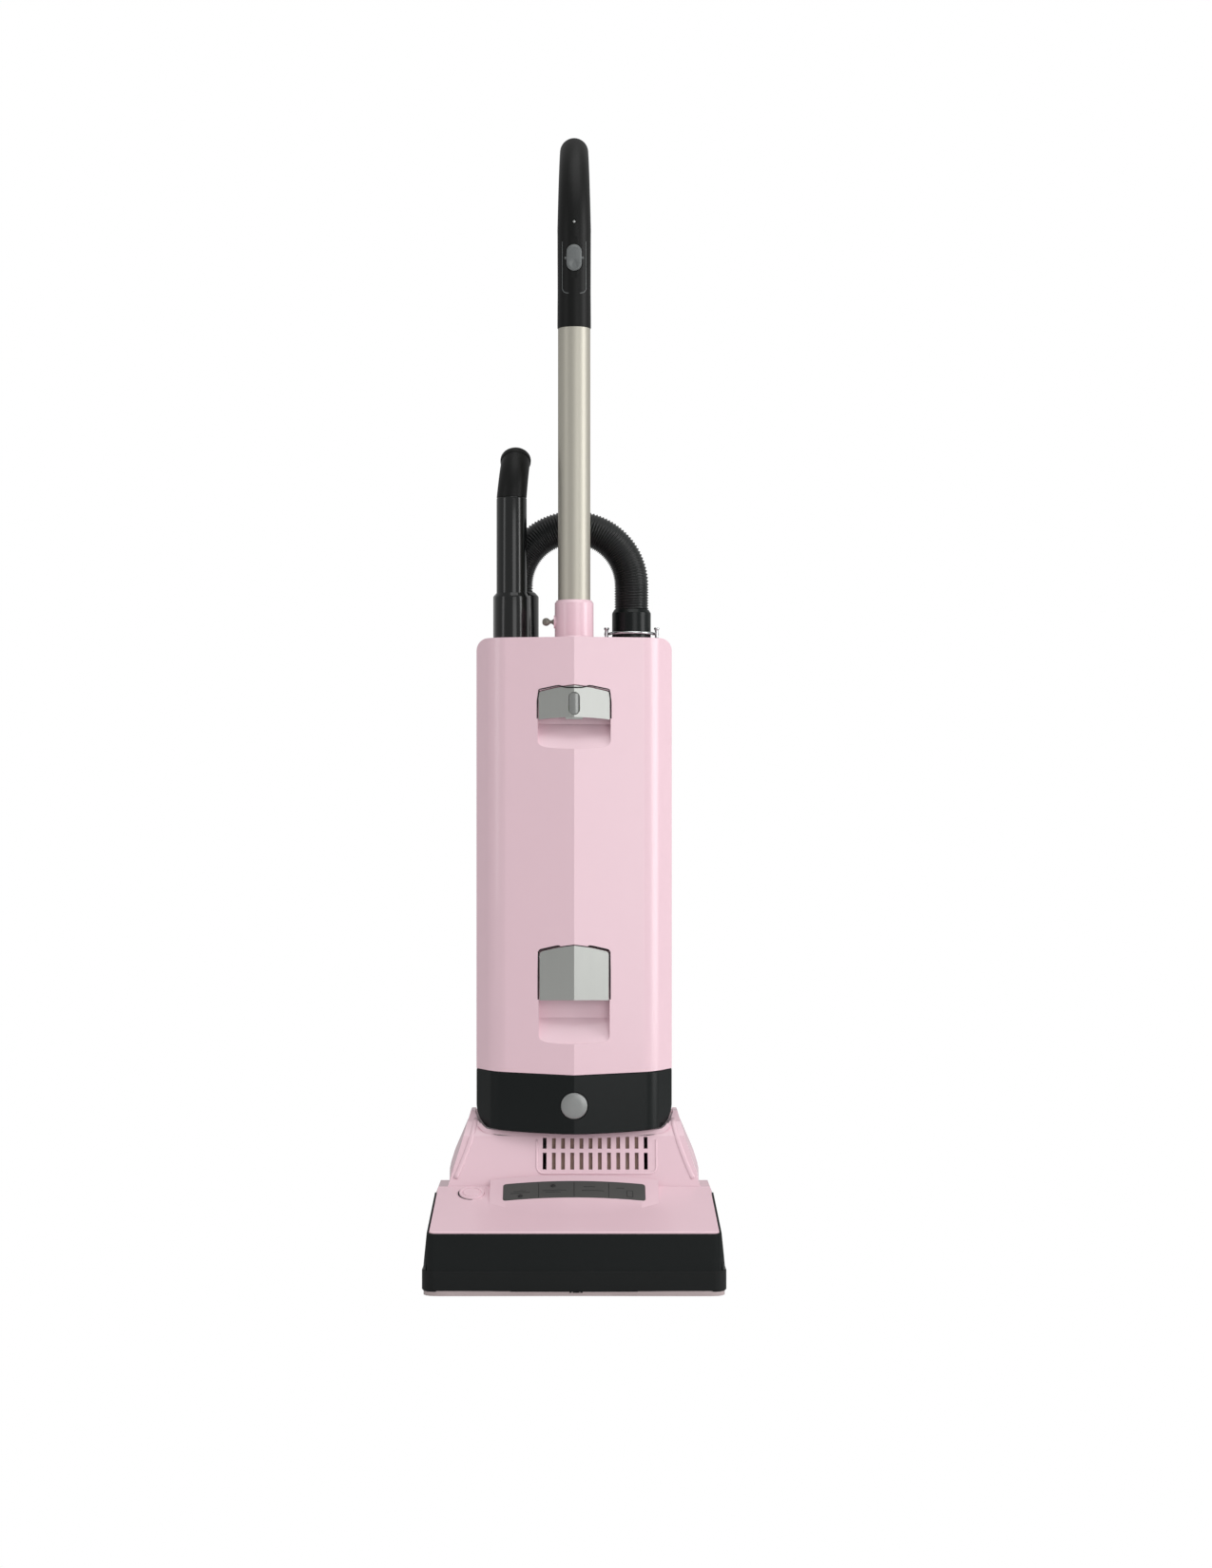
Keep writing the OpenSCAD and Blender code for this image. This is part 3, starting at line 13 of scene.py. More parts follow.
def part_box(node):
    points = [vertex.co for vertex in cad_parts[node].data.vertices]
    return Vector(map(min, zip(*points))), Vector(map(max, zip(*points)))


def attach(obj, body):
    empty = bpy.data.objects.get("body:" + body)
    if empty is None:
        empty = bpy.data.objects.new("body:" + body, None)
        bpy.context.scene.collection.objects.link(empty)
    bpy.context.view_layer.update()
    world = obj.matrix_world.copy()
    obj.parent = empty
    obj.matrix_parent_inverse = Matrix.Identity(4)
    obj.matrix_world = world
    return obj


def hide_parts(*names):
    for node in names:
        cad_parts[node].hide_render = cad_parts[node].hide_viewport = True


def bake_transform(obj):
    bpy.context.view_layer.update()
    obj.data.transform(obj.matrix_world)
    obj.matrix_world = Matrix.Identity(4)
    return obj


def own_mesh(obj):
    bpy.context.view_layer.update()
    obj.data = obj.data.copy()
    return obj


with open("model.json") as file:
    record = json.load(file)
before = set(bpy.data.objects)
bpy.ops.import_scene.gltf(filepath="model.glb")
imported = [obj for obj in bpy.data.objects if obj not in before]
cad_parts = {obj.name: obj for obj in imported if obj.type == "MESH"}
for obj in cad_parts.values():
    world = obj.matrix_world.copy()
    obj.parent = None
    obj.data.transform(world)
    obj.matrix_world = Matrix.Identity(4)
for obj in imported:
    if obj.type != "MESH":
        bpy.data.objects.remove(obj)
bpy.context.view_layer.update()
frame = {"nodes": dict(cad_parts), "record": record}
NODES = frame["nodes"]
BODY = {n: b for b, members in frame["record"]["behaviour"]["bodies"].items() for n in members}
SLOT = {n: obj.data.materials[0].name for n, obj in NODES.items()}
MM = 0.001


def add(name, data):
    """A new object in the scene."""
    obj = bpy.data.objects.new(name, data)
    bpy.context.scene.collection.objects.link(obj)
    return obj


# ---------------------------------------------------------------- camera and light

FOCAL_PX = 3000                                  # focal length in pixels of the image
IMAGE = (1275, 1650)
HORIZON_PX = 880                                 # row of the horizon, from the top
CENTRE_PX = 604                                  # column of the object's middle
STAND_OFF = 3.0525                               # camera to the object's middle
EYE = 0.467                                      # camera's height
SENSOR = 36
ROOM_LIGHT, BACKDROP = 0.46, 1.0                 # the world's strength for the object, and for the camera
FLOOR_HALF = 9
SOFTBOXES = (                                    # name, place, aim, size, watts
    ("right_softbox", (2.95, -0.95, 1.3), (0, 0, 0.6), (1.3, 2.6), 46),
    ("front_softbox", (1.25, -3.3, 0.9), (0, 0, 0.55), (1.5, 2.4), 21.5),
    ("left_softbox", (-2.6, -1.6, 1.3), (0, 0, 0.6), (0.7, 2.0), 7.5),
    ("top_softbox", (0.3, -0.6, 2.9), (0, 0, 0.3), (1.8, 1.8), 16),
)


def make_camera():
    data = bpy.data.cameras.new("camera")
    data.sensor_fit = "VERTICAL"
    data.sensor_width = data.sensor_height = SENSOR
    data.lens = FOCAL_PX / IMAGE[1] * SENSOR
    data.shift_x = (IMAGE[0] / 2 - CENTRE_PX) / IMAGE[1]
    data.shift_y = (HORIZON_PX - IMAGE[1] / 2) / IMAGE[1]
    cam = add("camera", data)
    cam.location = (0, -STAND_OFF, EYE)
    cam.rotation_euler = (math.pi / 2, 0, 0)
    bpy.context.scene.camera = cam


def area_light(name, place, aim, size, watts):
    data = bpy.data.lights.new(name, "AREA")
    data.shape = "RECTANGLE"
    data.size, data.size_y = size
    data.energy = watts
    lamp = add(name, data)
    lamp.location = place
    lamp.rotation_euler = (Vector(aim) - Vector(place)).to_track_quat("-Z", "Y").to_euler()


def studio_paper():
    """White paper that is lit from behind, so that it burns out to pure white where the camera sees it."""
    mat, tree, bsdf = shell_of("studio_paper", (0.8, 0.8, 0.8), 0.9)
    glow = tree.nodes.new("ShaderNodeEmission")
    mix = tree.nodes.new("ShaderNodeMixShader")
    seen = tree.nodes.new("ShaderNodeLightPath").outputs["Is Camera Ray"]
    for source, socket in zip((seen, bsdf.outputs[0], glow.outputs[0]), mix.inputs):
        tree.links.new(source, socket)
    tree.links.new(mix.outputs[0], tree.nodes["Material Output"].inputs["Surface"])
    return mat


def make_studio():
    world = bpy.data.worlds.new("studio")
    bpy.context.scene.world = world
    world.use_nodes = True
    tree = world.node_tree
    back = tree.nodes["Background"]
    put(back, Color=(1, 1, 1, 1))
    seen = tree.nodes.new("ShaderNodeLightPath").outputs["Is Camera Ray"]
    tree.links.new(ramp(tree, seen, 0, 1, ROOM_LIGHT, BACKDROP), back.inputs["Strength"])
    for softbox in SOFTBOXES:
        area_light(*softbox)
    bpy.context.scene.view_settings.view_transform = "Standard"
    mesh = bpy.data.meshes.new("studio_floor")
    corners = [(x * FLOOR_HALF, y * FLOOR_HALF, 0) for x, y in ((-1, -1), (1, -1), (1, 1), (-1, 1))]
    mesh.from_pydata(corners, [], [(0, 1, 2, 3)])
    floor = add("studio_floor", mesh)
    mesh.materials.append(studio_paper())


# ---------------------------------------------------------------- shader nodes


def put(node, **values):
    """Sets a node's inputs by label, with an underscore for each space."""
    for label, value in values.items():
        node.inputs[label.replace("_", " ")].default_value = value


def feed(tree, socket, value):
    """Links an output to an input, or sets the input to a number or a colour."""
    if isinstance(value, tuple):
        socket.default_value = (*value, 1)
    elif isinstance(value, (int, float)):
        socket.default_value = value
    else:
        tree.links.new(value, socket)


def object_coords(tree):
    return tree.nodes.new("ShaderNodeTexCoord").outputs["Object"]


def noise(tree, coords, scale, detail, rough=0.5):
    node = tree.nodes.new("ShaderNodeTexNoise")
    put(node, Detail=detail, Roughness=rough)
    feed(tree, node.inputs["Scale"], scale)
    feed(tree, node.inputs["Vector"], coords)
    return node.outputs["Fac"]


def ramp(tree, source, low, high, to_low=0.0, to_high=1.0):
    node = tree.nodes.new("ShaderNodeMapRange")
    put(node, From_Min=low, From_Max=high, To_Min=to_low, To_Max=to_high)
    tree.links.new(source, node.inputs["Value"])
    return node.outputs["Result"]


def combine(tree, operation, *terms):
    """One number from two or more, by a repeated operation."""
    total = terms[0]
    for term in terms[1:]:
        node = tree.nodes.new("ShaderNodeMath")
        node.operation = operation
        feed(tree, node.inputs[0], total)
        feed(tree, node.inputs[1], term)
        total = node.outputs[0]
    return total


def vector_op(tree, operation, a, b):
    node = tree.nodes.new("ShaderNodeVectorMath")
    node.operation = operation
    tree.links.new(a, node.inputs[0])
    tree.links.new(b, node.inputs[1])
    return node.outputs["Value" if operation == "DOT_PRODUCT" else "Vector"]


def blend_colour(tree, fac, a, b):
    node = tree.nodes.new("ShaderNodeMix")
    node.data_type = "RGBA"
    colours = [s for s in node.inputs if s.type == "RGBA"]
    for socket, value in zip([node.inputs[0]] + colours, (fac, a, b)):
        feed(tree, socket, value)
    return [s for s in node.outputs if s.type == "RGBA"][0]


def new_group(name, inputs, outputs):
    """A shader node group of float sockets, with the sockets of its two inner ends."""
    tree = bpy.data.node_groups.new(name, "ShaderNodeTree")
    for label, value in inputs.items():
        tree.interface.new_socket(label, in_out="INPUT", socket_type="NodeSocketFloat").default_value = value
    for label in outputs:
        tree.interface.new_socket(label, in_out="OUTPUT", socket_type="NodeSocketFloat")
    return tree, tree.nodes.new("NodeGroupInput").outputs, tree.nodes.new("NodeGroupOutput").inputs


def moulding_group():
    """Faint flow marks and pores of moulded plastic: a height and a roughness mask."""
    tree, inside, outside = new_group("moulded_surface", {"Grain Scale": 900.0, "Grain Depth": 0.2, "Flow Depth": 0.3},
                                      ("Height", "Mottle"))
    coords = object_coords(tree)
    grain = combine(tree, "MULTIPLY", noise(tree, coords, inside["Grain Scale"], 2.0), inside["Grain Depth"])
    flow = combine(tree, "MULTIPLY", noise(tree, coords, 9.0, 2.0), inside["Flow Depth"])
    tree.links.new(combine(tree, "ADD", grain, flow), outside["Height"])
    tree.links.new(noise(tree, coords, 24.0, 1.0), outside["Mottle"])
    return tree


def wear_and_sheen_group():
    """Where edges are scuffed and carry a painted sheen: a mask from how far a rounded normal leaves the true one,
    broken up by noise.
    """
    tree, inside, outside = new_group("edge_wear_and_sheen", {"Amount": 0.4, "Breakup": 60.0}, ["Mask"])
    rounded_normal = tree.nodes.new("ShaderNodeBevel")
    rounded_normal.samples = 4
    put(rounded_normal, Radius=1.2 * MM)
    normal = tree.nodes.new("ShaderNodeNewGeometry").outputs["Normal"]
    edge = ramp(tree, vector_op(tree, "DOT_PRODUCT", rounded_normal.outputs[0], normal), 0.97, 0.80)
    broken = ramp(tree, noise(tree, object_coords(tree), inside["Breakup"], 4.0), 0.35, 0.65)
    tree.links.new(combine(tree, "MULTIPLY", edge, broken, inside["Amount"]), outside["Mask"])
    return tree


def dust_group():
    """A film of dust on faces that look up, patchy at a hand's width."""
    tree, inside, outside = new_group("dust_film", {"Amount": 0.3}, ["Mask"])
    normal = tree.nodes.new("ShaderNodeSeparateXYZ")
    tree.links.new(tree.nodes.new("ShaderNodeNewGeometry").outputs["Normal"], normal.inputs[0])
    up = ramp(tree, normal.outputs["Z"], 0.2, 1.0)
    patch = ramp(tree, noise(tree, object_coords(tree), 14.0, 2.0, 0.6), 0.1, 0.9)
    tree.links.new(combine(tree, "MULTIPLY", up, patch, inside["Amount"]), outside["Mask"])
    return tree


def brushed_group():
    """Fine straight scratches of brushed metal, across the given stretch of the pattern."""
    tree, inside, outside = new_group("brushed_lines", {"Across X": 40.0, "Across Y": 40.0, "Across Z": 1200.0},
                                      ("Height", "Streak"))
    stretch = tree.nodes.new("ShaderNodeCombineXYZ")
    for k in range(3):
        tree.links.new(inside[k], stretch.inputs[k])
    scaled = vector_op(tree, "MULTIPLY", object_coords(tree), stretch.outputs[0])
    lines = noise(tree, scaled, 1.0, 3.0, 0.6)
    for label in ("Height", "Streak"):
        tree.links.new(lines, outside[label])
    return tree


GROUPS = {tree.name: tree for tree in (moulding_group(), wear_and_sheen_group(), dust_group(), brushed_group())}


def group_node(tree, key, **values):
    node = tree.nodes.new("ShaderNodeGroup")
    node.node_tree = GROUPS[key]
    put(node, **values)
    return node.outputs


# ---------------------------------------------------------------- materials

DUST = (0.62, 0.60, 0.57)


def shell_of(name, colour, rough, metallic=0.0):
    mat = bpy.data.materials.new(name)
    mat.use_nodes = True
    bsdf = mat.node_tree.nodes["Principled BSDF"]
    put(bsdf, Base_Color=(*colour, 1), Roughness=rough, Metallic=metallic)
    return mat, mat.node_tree, bsdf


def bump(tree, bsdf, height, strength, distance):
    """Fine relief in the shading, with its depth in millimetres."""
    node = tree.nodes.new("ShaderNodeBump")
    put(node, Strength=strength, Distance=distance * MM)
    tree.links.new(height, node.inputs["Height"])
    tree.links.new(node.outputs["Normal"], bsdf.inputs["Normal"])


def tinted(colour, share):
    """The colour made brighter by a share of itself, up to white."""
    return tuple(min(1, c * (1 + share)) for c in colour)


def plastic(name, colour, rough, dust, worn=None, grain=900.0, grain_depth=0.2, flow=0.3, wear_and_sheen=0.3, coat=0.0,
            swing=0.02, shade=0.06, gloss=0.5):
    """Moulded plastic: mottled colour and gloss, pores, edges lightened by scuffing and a painted sheen, and a little
    dust on top.
    """
    mat, tree, bsdf = shell_of(name, colour, rough)
    worn = worn or tuple(min(1.0, c * 1.25 + 0.02) for c in colour)
    mould = group_node(tree, "moulded_surface", Grain_Scale=grain, Grain_Depth=grain_depth, Flow_Depth=flow)
    edge = group_node(tree, "edge_wear_and_sheen", Amount=wear_and_sheen)["Mask"]
    film = group_node(tree, "dust_film", Amount=dust)["Mask"]
    mottled = blend_colour(tree, mould["Mottle"], tinted(colour, -shade), tinted(colour, shade))
    # edges take a lighter colour: scuffing and a painted sheen
    edge_scuff_and_sheen = blend_colour(tree, edge, mottled, worn)
    tree.links.new(blend_colour(tree, film, edge_scuff_and_sheen, DUST), bsdf.inputs["Base Color"])
    rubbing = ramp(tree, mould["Mottle"], 0.0, 1.0, rough - swing, rough + swing)
    tree.links.new(combine(tree, "ADD", rubbing, combine(tree, "MULTIPLY", film, 0.5)), bsdf.inputs["Roughness"])
    put(bsdf, Specular_IOR_Level=gloss, Coat_Weight=coat, Coat_Roughness=0.08)
    bump(tree, bsdf, mould["Height"], 0.25, 0.4)
    return mat


def metal(name, colour, rough, across, depth=0.15, metallic=1.0, swing=0.08, shade=0.12):
    """Metal or metal paint with fine straight lines in it."""
    mat, tree, bsdf = shell_of(name, colour, rough, metallic)
    lines = group_node(tree, "brushed_lines", Across_X=across[0], Across_Y=across[1], Across_Z=across[2])
    edge = group_node(tree, "edge_wear_and_sheen", Amount=0.35)["Mask"]
    streaked = blend_colour(tree, lines["Streak"], tinted(colour, -shade), tinted(colour, shade))
    # edges are made a fifth lighter: scuffing and a painted sheen
    tree.links.new(blend_colour(tree, edge, streaked, tinted(colour, 0.2)), bsdf.inputs["Base Color"])
    tree.links.new(ramp(tree, lines["Streak"], 0.3, 0.7, rough - swing, rough + swing), bsdf.inputs["Roughness"])
    bump(tree, bsdf, lines["Height"], depth, 0.2)
    return mat


def paper(name, colour, rough, scale):
    """Fibrous paper or felt."""
    mat, tree, bsdf = shell_of(name, colour, rough)
    fibres = noise(tree, object_coords(tree), scale, 6.0, 0.7)
    tree.links.new(blend_colour(tree, fibres, tinted(colour, -0.14), colour), bsdf.inputs["Base Color"])
    bump(tree, bsdf, fibres, 0.5, 0.6)
    return mat


def lens(name, colour, rough, metallic, through, bending):
    mat, _, bsdf = shell_of(name, colour, rough, metallic)
    put(bsdf, Transmission_Weight=through, IOR=bending)
    return mat


def winding(name, colour, rough, dark, bright):
    """Copper wire laid side by side, with a varnish over it."""
    mat, tree, bsdf = shell_of(name, colour, rough, 0.8)
    wave = tree.nodes.new("ShaderNodeTexWave")
    put(wave, Scale=260, Distortion=1.5)
    tree.links.new(object_coords(tree), wave.inputs["Vector"])
    tree.links.new(blend_colour(tree, wave.outputs["Fac"], dark, bright), bsdf.inputs["Base Color"])
    bump(tree, bsdf, wave.outputs["Fac"], 0.5, 0.6)
    return mat


FINISHES = {                                     # maker, colour, roughness, and what differs from the maker's defaults
    "pink_shell": (plastic, (0.842, 0.60, 0.668), 0.26, dict(
        worn=(0.88, 0.70, 0.73), flow=0.1, dust=0.01, wear_and_sheen=0.1, coat=0.2, swing=0.01, shade=0.006)),
    "black_shell": (plastic, (0.0045, 0.0065, 0.0065), 0.26, dict(
        worn=(0.02, 0.025, 0.025), dust=0.01, wear_and_sheen=0.15, shade=0.04, gloss=0.22)),
    "black_gloss": (plastic, (0.0045, 0.0055, 0.0055), 0.19, dict(
        worn=(0.02, 0.022, 0.022), grain_depth=0.03, flow=0.02, dust=0.0, wear_and_sheen=0.1, swing=0.0, shade=0.03, gloss=0.4,
        coat=0.2)),
    "black_grip": (plastic, (0.0048, 0.0052, 0.005), 0.42, dict(
        worn=(0.02, 0.02, 0.02), grain=1400.0, grain_depth=0.4, dust=0.01, wear_and_sheen=0.15, shade=0.05, gloss=0.2)),
    "hose_black": (plastic, (0.007, 0.0085, 0.0085), 0.30, dict(
        worn=(0.04, 0.045, 0.045), dust=0.03, wear_and_sheen=0.2, shade=0.08, gloss=0.45)),
    "dark_moulding": (plastic, (0.028, 0.035, 0.036), 0.5, dict(grain_depth=0.5, dust=0.25, shade=0.12)),
    "panel_grey": (plastic, (0.062, 0.064, 0.061), 0.42, dict(
        grain_depth=0.3, dust=0.03, wear_and_sheen=0.2, shade=0.04, gloss=0.35)),
    "latch_silver": (metal, (0.44, 0.45, 0.43), 0.32, dict(
        across=(900.0, 30.0, 9.0), depth=0.04, metallic=0.8, swing=0.02, shade=0.025)),
    "disc_silver": (metal, (0.30, 0.31, 0.305), 0.36, dict(
        across=(900.0, 30.0, 9.0), depth=0.05, metallic=0.6, swing=0.02, shade=0.03)),
    "rocker_grey": (plastic, (0.13, 0.14, 0.14), 0.34, dict(dust=0.04, shade=0.05)),
    "sole_grey": (plastic, (0.50, 0.41, 0.41), 0.42, dict(dust=0.05, wear_and_sheen=0.4, shade=0.05)),
    "rubber_black": (plastic, (0.0055, 0.0068, 0.0068), 0.5, dict(
        worn=(0.02, 0.02, 0.02), grain_depth=0.8, dust=0.03, wear_and_sheen=0.2, shade=0.1, gloss=0.22)),
    "steel_bright": (metal, (0.58, 0.59, 0.60), 0.22, dict(across=(60.0, 60.0, 60.0))),
    "worn_zinc": (metal, (0.22, 0.205, 0.18), 0.42, dict(across=(300.0, 300.0, 300.0), metallic=0.7)),
    "zinc_screw": (metal, (0.5, 0.51, 0.5), 0.32, dict(across=(300.0, 300.0, 300.0))),
    "tube_satin": (metal, (0.485, 0.465, 0.40), 0.45, dict(
        across=(260.0, 260.0, 6.0), depth=0.02, metallic=0.6, shade=0.015, swing=0.02)),
    "motor_can": (metal, (0.35, 0.37, 0.38), 0.38, dict(across=(80.0, 80.0, 80.0))),
    "winding_copper": (winding, (0.45, 0.2, 0.09), 0.3, dict(dark=(0.2, 0.08, 0.04), bright=(0.6, 0.29, 0.13))),
    "fan_alloy": (metal, (0.6, 0.61, 0.62), 0.3, dict(across=(200.0, 200.0, 200.0))),
    "filter_tan": (paper, (0.42, 0.30, 0.25), 0.85, dict(scale=300.0)),
    "filter_white": (paper, (0.72, 0.70, 0.65), 0.85, dict(scale=400.0)),
    "bag_paper": (paper, (0.76, 0.71, 0.60), 0.85, dict(scale=220.0)),
    "collar_card": (paper, (0.80, 0.77, 0.70), 0.85, dict(scale=600.0)),
    "bristle_black": (plastic, (0.01, 0.012, 0.015), 0.5, dict(dust=0.2, shade=0.2)),
    "flag_green": (plastic, (0.22, 0.36, 0.11), 0.4, dict(dust=0.02)),
    "lens_clear": (lens, (0.9, 0.93, 0.93), 0.05, dict(metallic=0.0, through=0.9, bending=1.45)),
    "lens_smoke": (lens, (0.33, 0.34, 0.33), 0.18, dict(metallic=0.3, through=0.25, bending=1.49)),
    "mark_black": (plastic, (0.008, 0.009, 0.009), 0.5, dict(dust=0.0, wear_and_sheen=0.0)),
    # dark_hollow also serves as painted shade: the latch shadows, the button's shadow crescent and the sole's notches
    "dark_hollow": (plastic, (0.004, 0.004, 0.004), 0.8, dict(dust=0.0, wear_and_sheen=0.0)),
}
FINISH = {name: maker(name, colour, rough, **look) for name, (maker, colour, rough, look) in FINISHES.items()}


# ---------------------------------------------------------------- shaping helpers, in millimetres


def at(x, y, z):
    return Vector((x, y, z)) * MM


def turns(steps):
    """The angles of a full turn in equal steps."""
    return [2 * math.pi * k / steps for k in range(steps)]


def mesh_from(bm, name):
    bmesh.ops.remove_doubles(bm, verts=bm.verts, dist=1e-6)
    bmesh.ops.recalc_face_normals(bm, faces=bm.faces)
    mesh = bpy.data.meshes.new(name)
    bm.to_mesh(mesh)
    bm.free()
    return mesh


def shade_by_angle(obj, degrees):
    """Smooth shading that keeps edges sharper than an angle."""
    obj.data.shade_smooth()
    obj.data.set_sharp_from_angle(angle=math.radians(degrees))


def new_piece(name, shape, body, material=None, angle=None, smooth=True):
    """A piece that rides on a body, from a mesh or a bmesh; past the angle in degrees its edges are sharp."""
    mesh = mesh_from(shape, name) if isinstance(shape, bmesh.types.BMesh) else shape
    obj = add(name, mesh)
    if material:
        mesh.materials.append(FINISH[material])
    if smooth:
        mesh.shade_smooth()
    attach(obj, body)
    if angle:
        shade_by_angle(obj, angle)
    return obj


def ring_loft(bm, rings, close_ends=True):
    """Skins rings of points that all have the same count."""
    rows = [[bm.verts.new(p) for p in ring] for ring in rings]
    count = len(rows[0])
    for below, above in zip(rows, rows[1:]):
        for k in range(count):
            bm.faces.new((below[k], below[(k + 1) % count], above[(k + 1) % count], above[k]))
    if close_ends:
        bm.faces.new(rows[0])
        bm.faces.new(rows[-1])


def lofted(rings, close_ends=True):
    bm = bmesh.new()
    ring_loft(bm, rings, close_ends)
    return bm


def slab(bm, lo, hi):
    """A box between two corners."""
    plan = ((lo[0], lo[1]), (hi[0], lo[1]), (hi[0], hi[1]), (lo[0], hi[1]))
    v = [bm.verts.new(at(x, y, z)) for z in (lo[2], hi[2]) for x, y in plan]
    for face in ((0, 1, 2, 3), (4, 5, 6, 7), (0, 1, 5, 4), (1, 2, 6, 5), (2, 3, 7, 6), (3, 0, 4, 7)):
        bm.faces.new([v[k] for k in face])


def place(axis, c, u, v, h):
    """A point at height h on an axis through c, and (u, v) to its side."""
    if axis == "Z":
        return at(c[0] + u, c[1] + v, c[2] + h)
    if axis == "X":
        return at(c[0] + h, c[1] + u, c[2] + v)
    return at(c[0] + v, c[1] + h, c[2] + u)


def turned(profile, axis, centre, sides, bm=None):
    """Turns a profile of (radius, height) points about an axis; a zero radius closes the end."""
    if bm is None:
        bm = bmesh.new()
    c = Vector(centre)
    rows = [[bm.verts.new(place(axis, c, r * math.cos(a), r * math.sin(a), h))
             for a in (turns(sides) if r > 0 else (0,))] for r, h in profile]
    for below, above in zip(rows, rows[1:]):
        for k in range(sides):
            quad = (below[k % len(below)], below[(k + 1) % len(below)],
                    above[(k + 1) % len(above)], above[k % len(above)])
            face = list(dict.fromkeys(quad))
            if len(face) > 2:
                bm.faces.new(face)
    return bm


def swept(stations, centre, sides):
    """A closed tube along stations of (across, back, height, radius, lean in degrees)."""
    rings = []
    for x, y, z, r, lean in stations:
        a = math.radians(lean)
        rings.append([at(centre[0] + x + r * math.cos(b), centre[1] + y + r * math.sin(b) * math.cos(a),
                         z - r * math.sin(b) * math.sin(a)) for b in turns(sides)])
    return lofted(rings)


def bend(radius, angle, start, r0, r1, steps, shift=0.0):
    """Stations round a bend that leans back, with the radius running from r0 to r1."""
    out = []
    for i in range(steps + 1):
        t = i / steps
        a = math.radians(angle * t)
        out.append((shift * t, radius * (1 - math.cos(a)), start + radius * math.sin(a), r0 + (r1 - r0) * t, angle * t))
    return out


def dome(last, depth, steps):
    """Stations of a rounded end beyond the last station."""
    x, y, z, r, lean = last
    a = math.radians(lean)
    out = []
    for i in range(1, steps + 1):
        t = math.pi / 2 * i / steps
        k = depth * math.sin(t)
        out.append((x, y + k * math.sin(a), z + k * math.cos(a), max(0.3, r * math.cos(t)), lean))
    return out


def capsule(centre, half_w, half_h, rows):
    """A pad that faces the front, a stretched circle in outline; rows are (scale, depth), or a rule for the depth."""
    sides = 64
    rings = []
    for scale, depth in rows:
        ring = []
        for k in range(sides):
            b = 2 * math.pi * (k + 0.5) / sides
            x = half_w * scale * math.cos(b)
            z = half_w * scale * math.sin(b) + math.copysign((half_h - half_w) * scale, math.sin(b))
            ring.append(at(centre[0] + x, centre[1] + (depth(x, z) if callable(depth) else depth), centre[2] + z))
        rings.append(ring)
    return lofted(rings)


def carved(mesh, cutters):
    """The mesh with each cutter's shape taken out of it."""
    work = add("work", mesh)
    tools = []
    for cutter in cutters:
        tools.append(add("cutter", mesh_from(cutter, "cutter")))
        mod = work.modifiers.new("cut", "BOOLEAN")
        mod.operation = "DIFFERENCE"
        mod.solver = "EXACT"
        mod.object = tools[-1]
    bpy.context.view_layer.update()
    result = bpy.data.meshes.new_from_object(work.evaluated_get(bpy.context.evaluated_depsgraph_get()))
    for obj in (work, *tools):
        bpy.data.objects.remove(obj)
    return result


# ---------------------------------------------------------------- places read from the frame, in millimetres


def low(node):
    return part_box(node)[0] / MM


def high(node):
    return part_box(node)[1] / MM


def middle(node):
    return (low(node) + high(node)) / 2


def half_width(node):
    return (high(node).x - low(node).x) / 2


DECK = high("front_door").z                      # top of the upper body
PORT = middle("hose_cuff")
WAND = middle("wand_tube")
WAND_R = half_width("wand_tube")
TUBE = middle("handle_tube")
TUBE_R = half_width("handle_tube")
HOSE_R = 18.9                                    # over the crests of its ribs
RIB_PITCH, RIB_DEPTH = 2.9, 1.5
STEM = Vector((WAND.x - 4, WAND.y - 34, 0))      # the wand's grip stands beside its tube
STEM_R = 16.4
GRIP_LOW = high("handle_tube").z                 # foot of the grip's visible stem
GRIP_R = TUBE_R + 0.7
ROCKER = middle("switch_rocker")
TYRE_DEPTH = high("tyre_left").z - high("wheel_left").z
BUTTON = middle("head_button")


# ---------------------------------------------------------------- softened nodes

RIDGED = ("front_door", "exhaust_cover", "upper_latch", "lower_latch")
CORNERED = ("front_door", "exhaust_cover")
CORNER_RUN = 13.0                                # how far a front corner's blend reaches to each side
RADII = {                                        # edge radius of each moulded or pressed part
    "chassis": 1.0, "front_door": 0.9, "exhaust_cover": 0.9, "head_base": 1.0, "head_cover": 0.9, "bumper_strip": 0.5,
    "sole_plate": 0.5, "indicator_panel": 0.4, "neck_yoke": 1.0, "tube_socket": 1.2, "hose_cuff": 0.8,
    "foot_pedal": 0.5, "head_button": 0.6, "upper_latch": 0.5, "lower_latch": 0.5, "upper_cable_hook": 1.0,
    "lower_cable_hook": 1.0, "cord_gland": 0.4, "wheel_left": 0.6, "wheel_right": 0.6, "inlet_port": 0.6,
    "switch_rocker": 1.4, "axles": 0.5,
}


def welded(node):
    """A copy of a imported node's mesh as a clean shell with flat faces in one piece."""
    bm = bmesh.new()
    bm.from_mesh(NODES[node].data)
    bmesh.ops.remove_doubles(bm, verts=bm.verts, dist=4e-6)
    bmesh.ops.dissolve_degenerate(bm, dist=2e-6, edges=bm.edges)
    bmesh.ops.dissolve_limit(bm, angle_limit=math.radians(0.6), verts=bm.verts, edges=bm.edges)
    return bm


def soften(obj, radius, steps):
    """Rounds the hard edges of a piece by a radius."""
    mod = obj.modifiers.new("edge_radius", "BEVEL")
    mod.width = radius * MM
    mod.segments = steps
    mod.limit_method = "ANGLE"
    mod.angle_limit = math.radians(28)
    mod.use_clamp_overlap = True
    mod.harden_normals = True
    mod.miter_outer = "MITER_ARC"


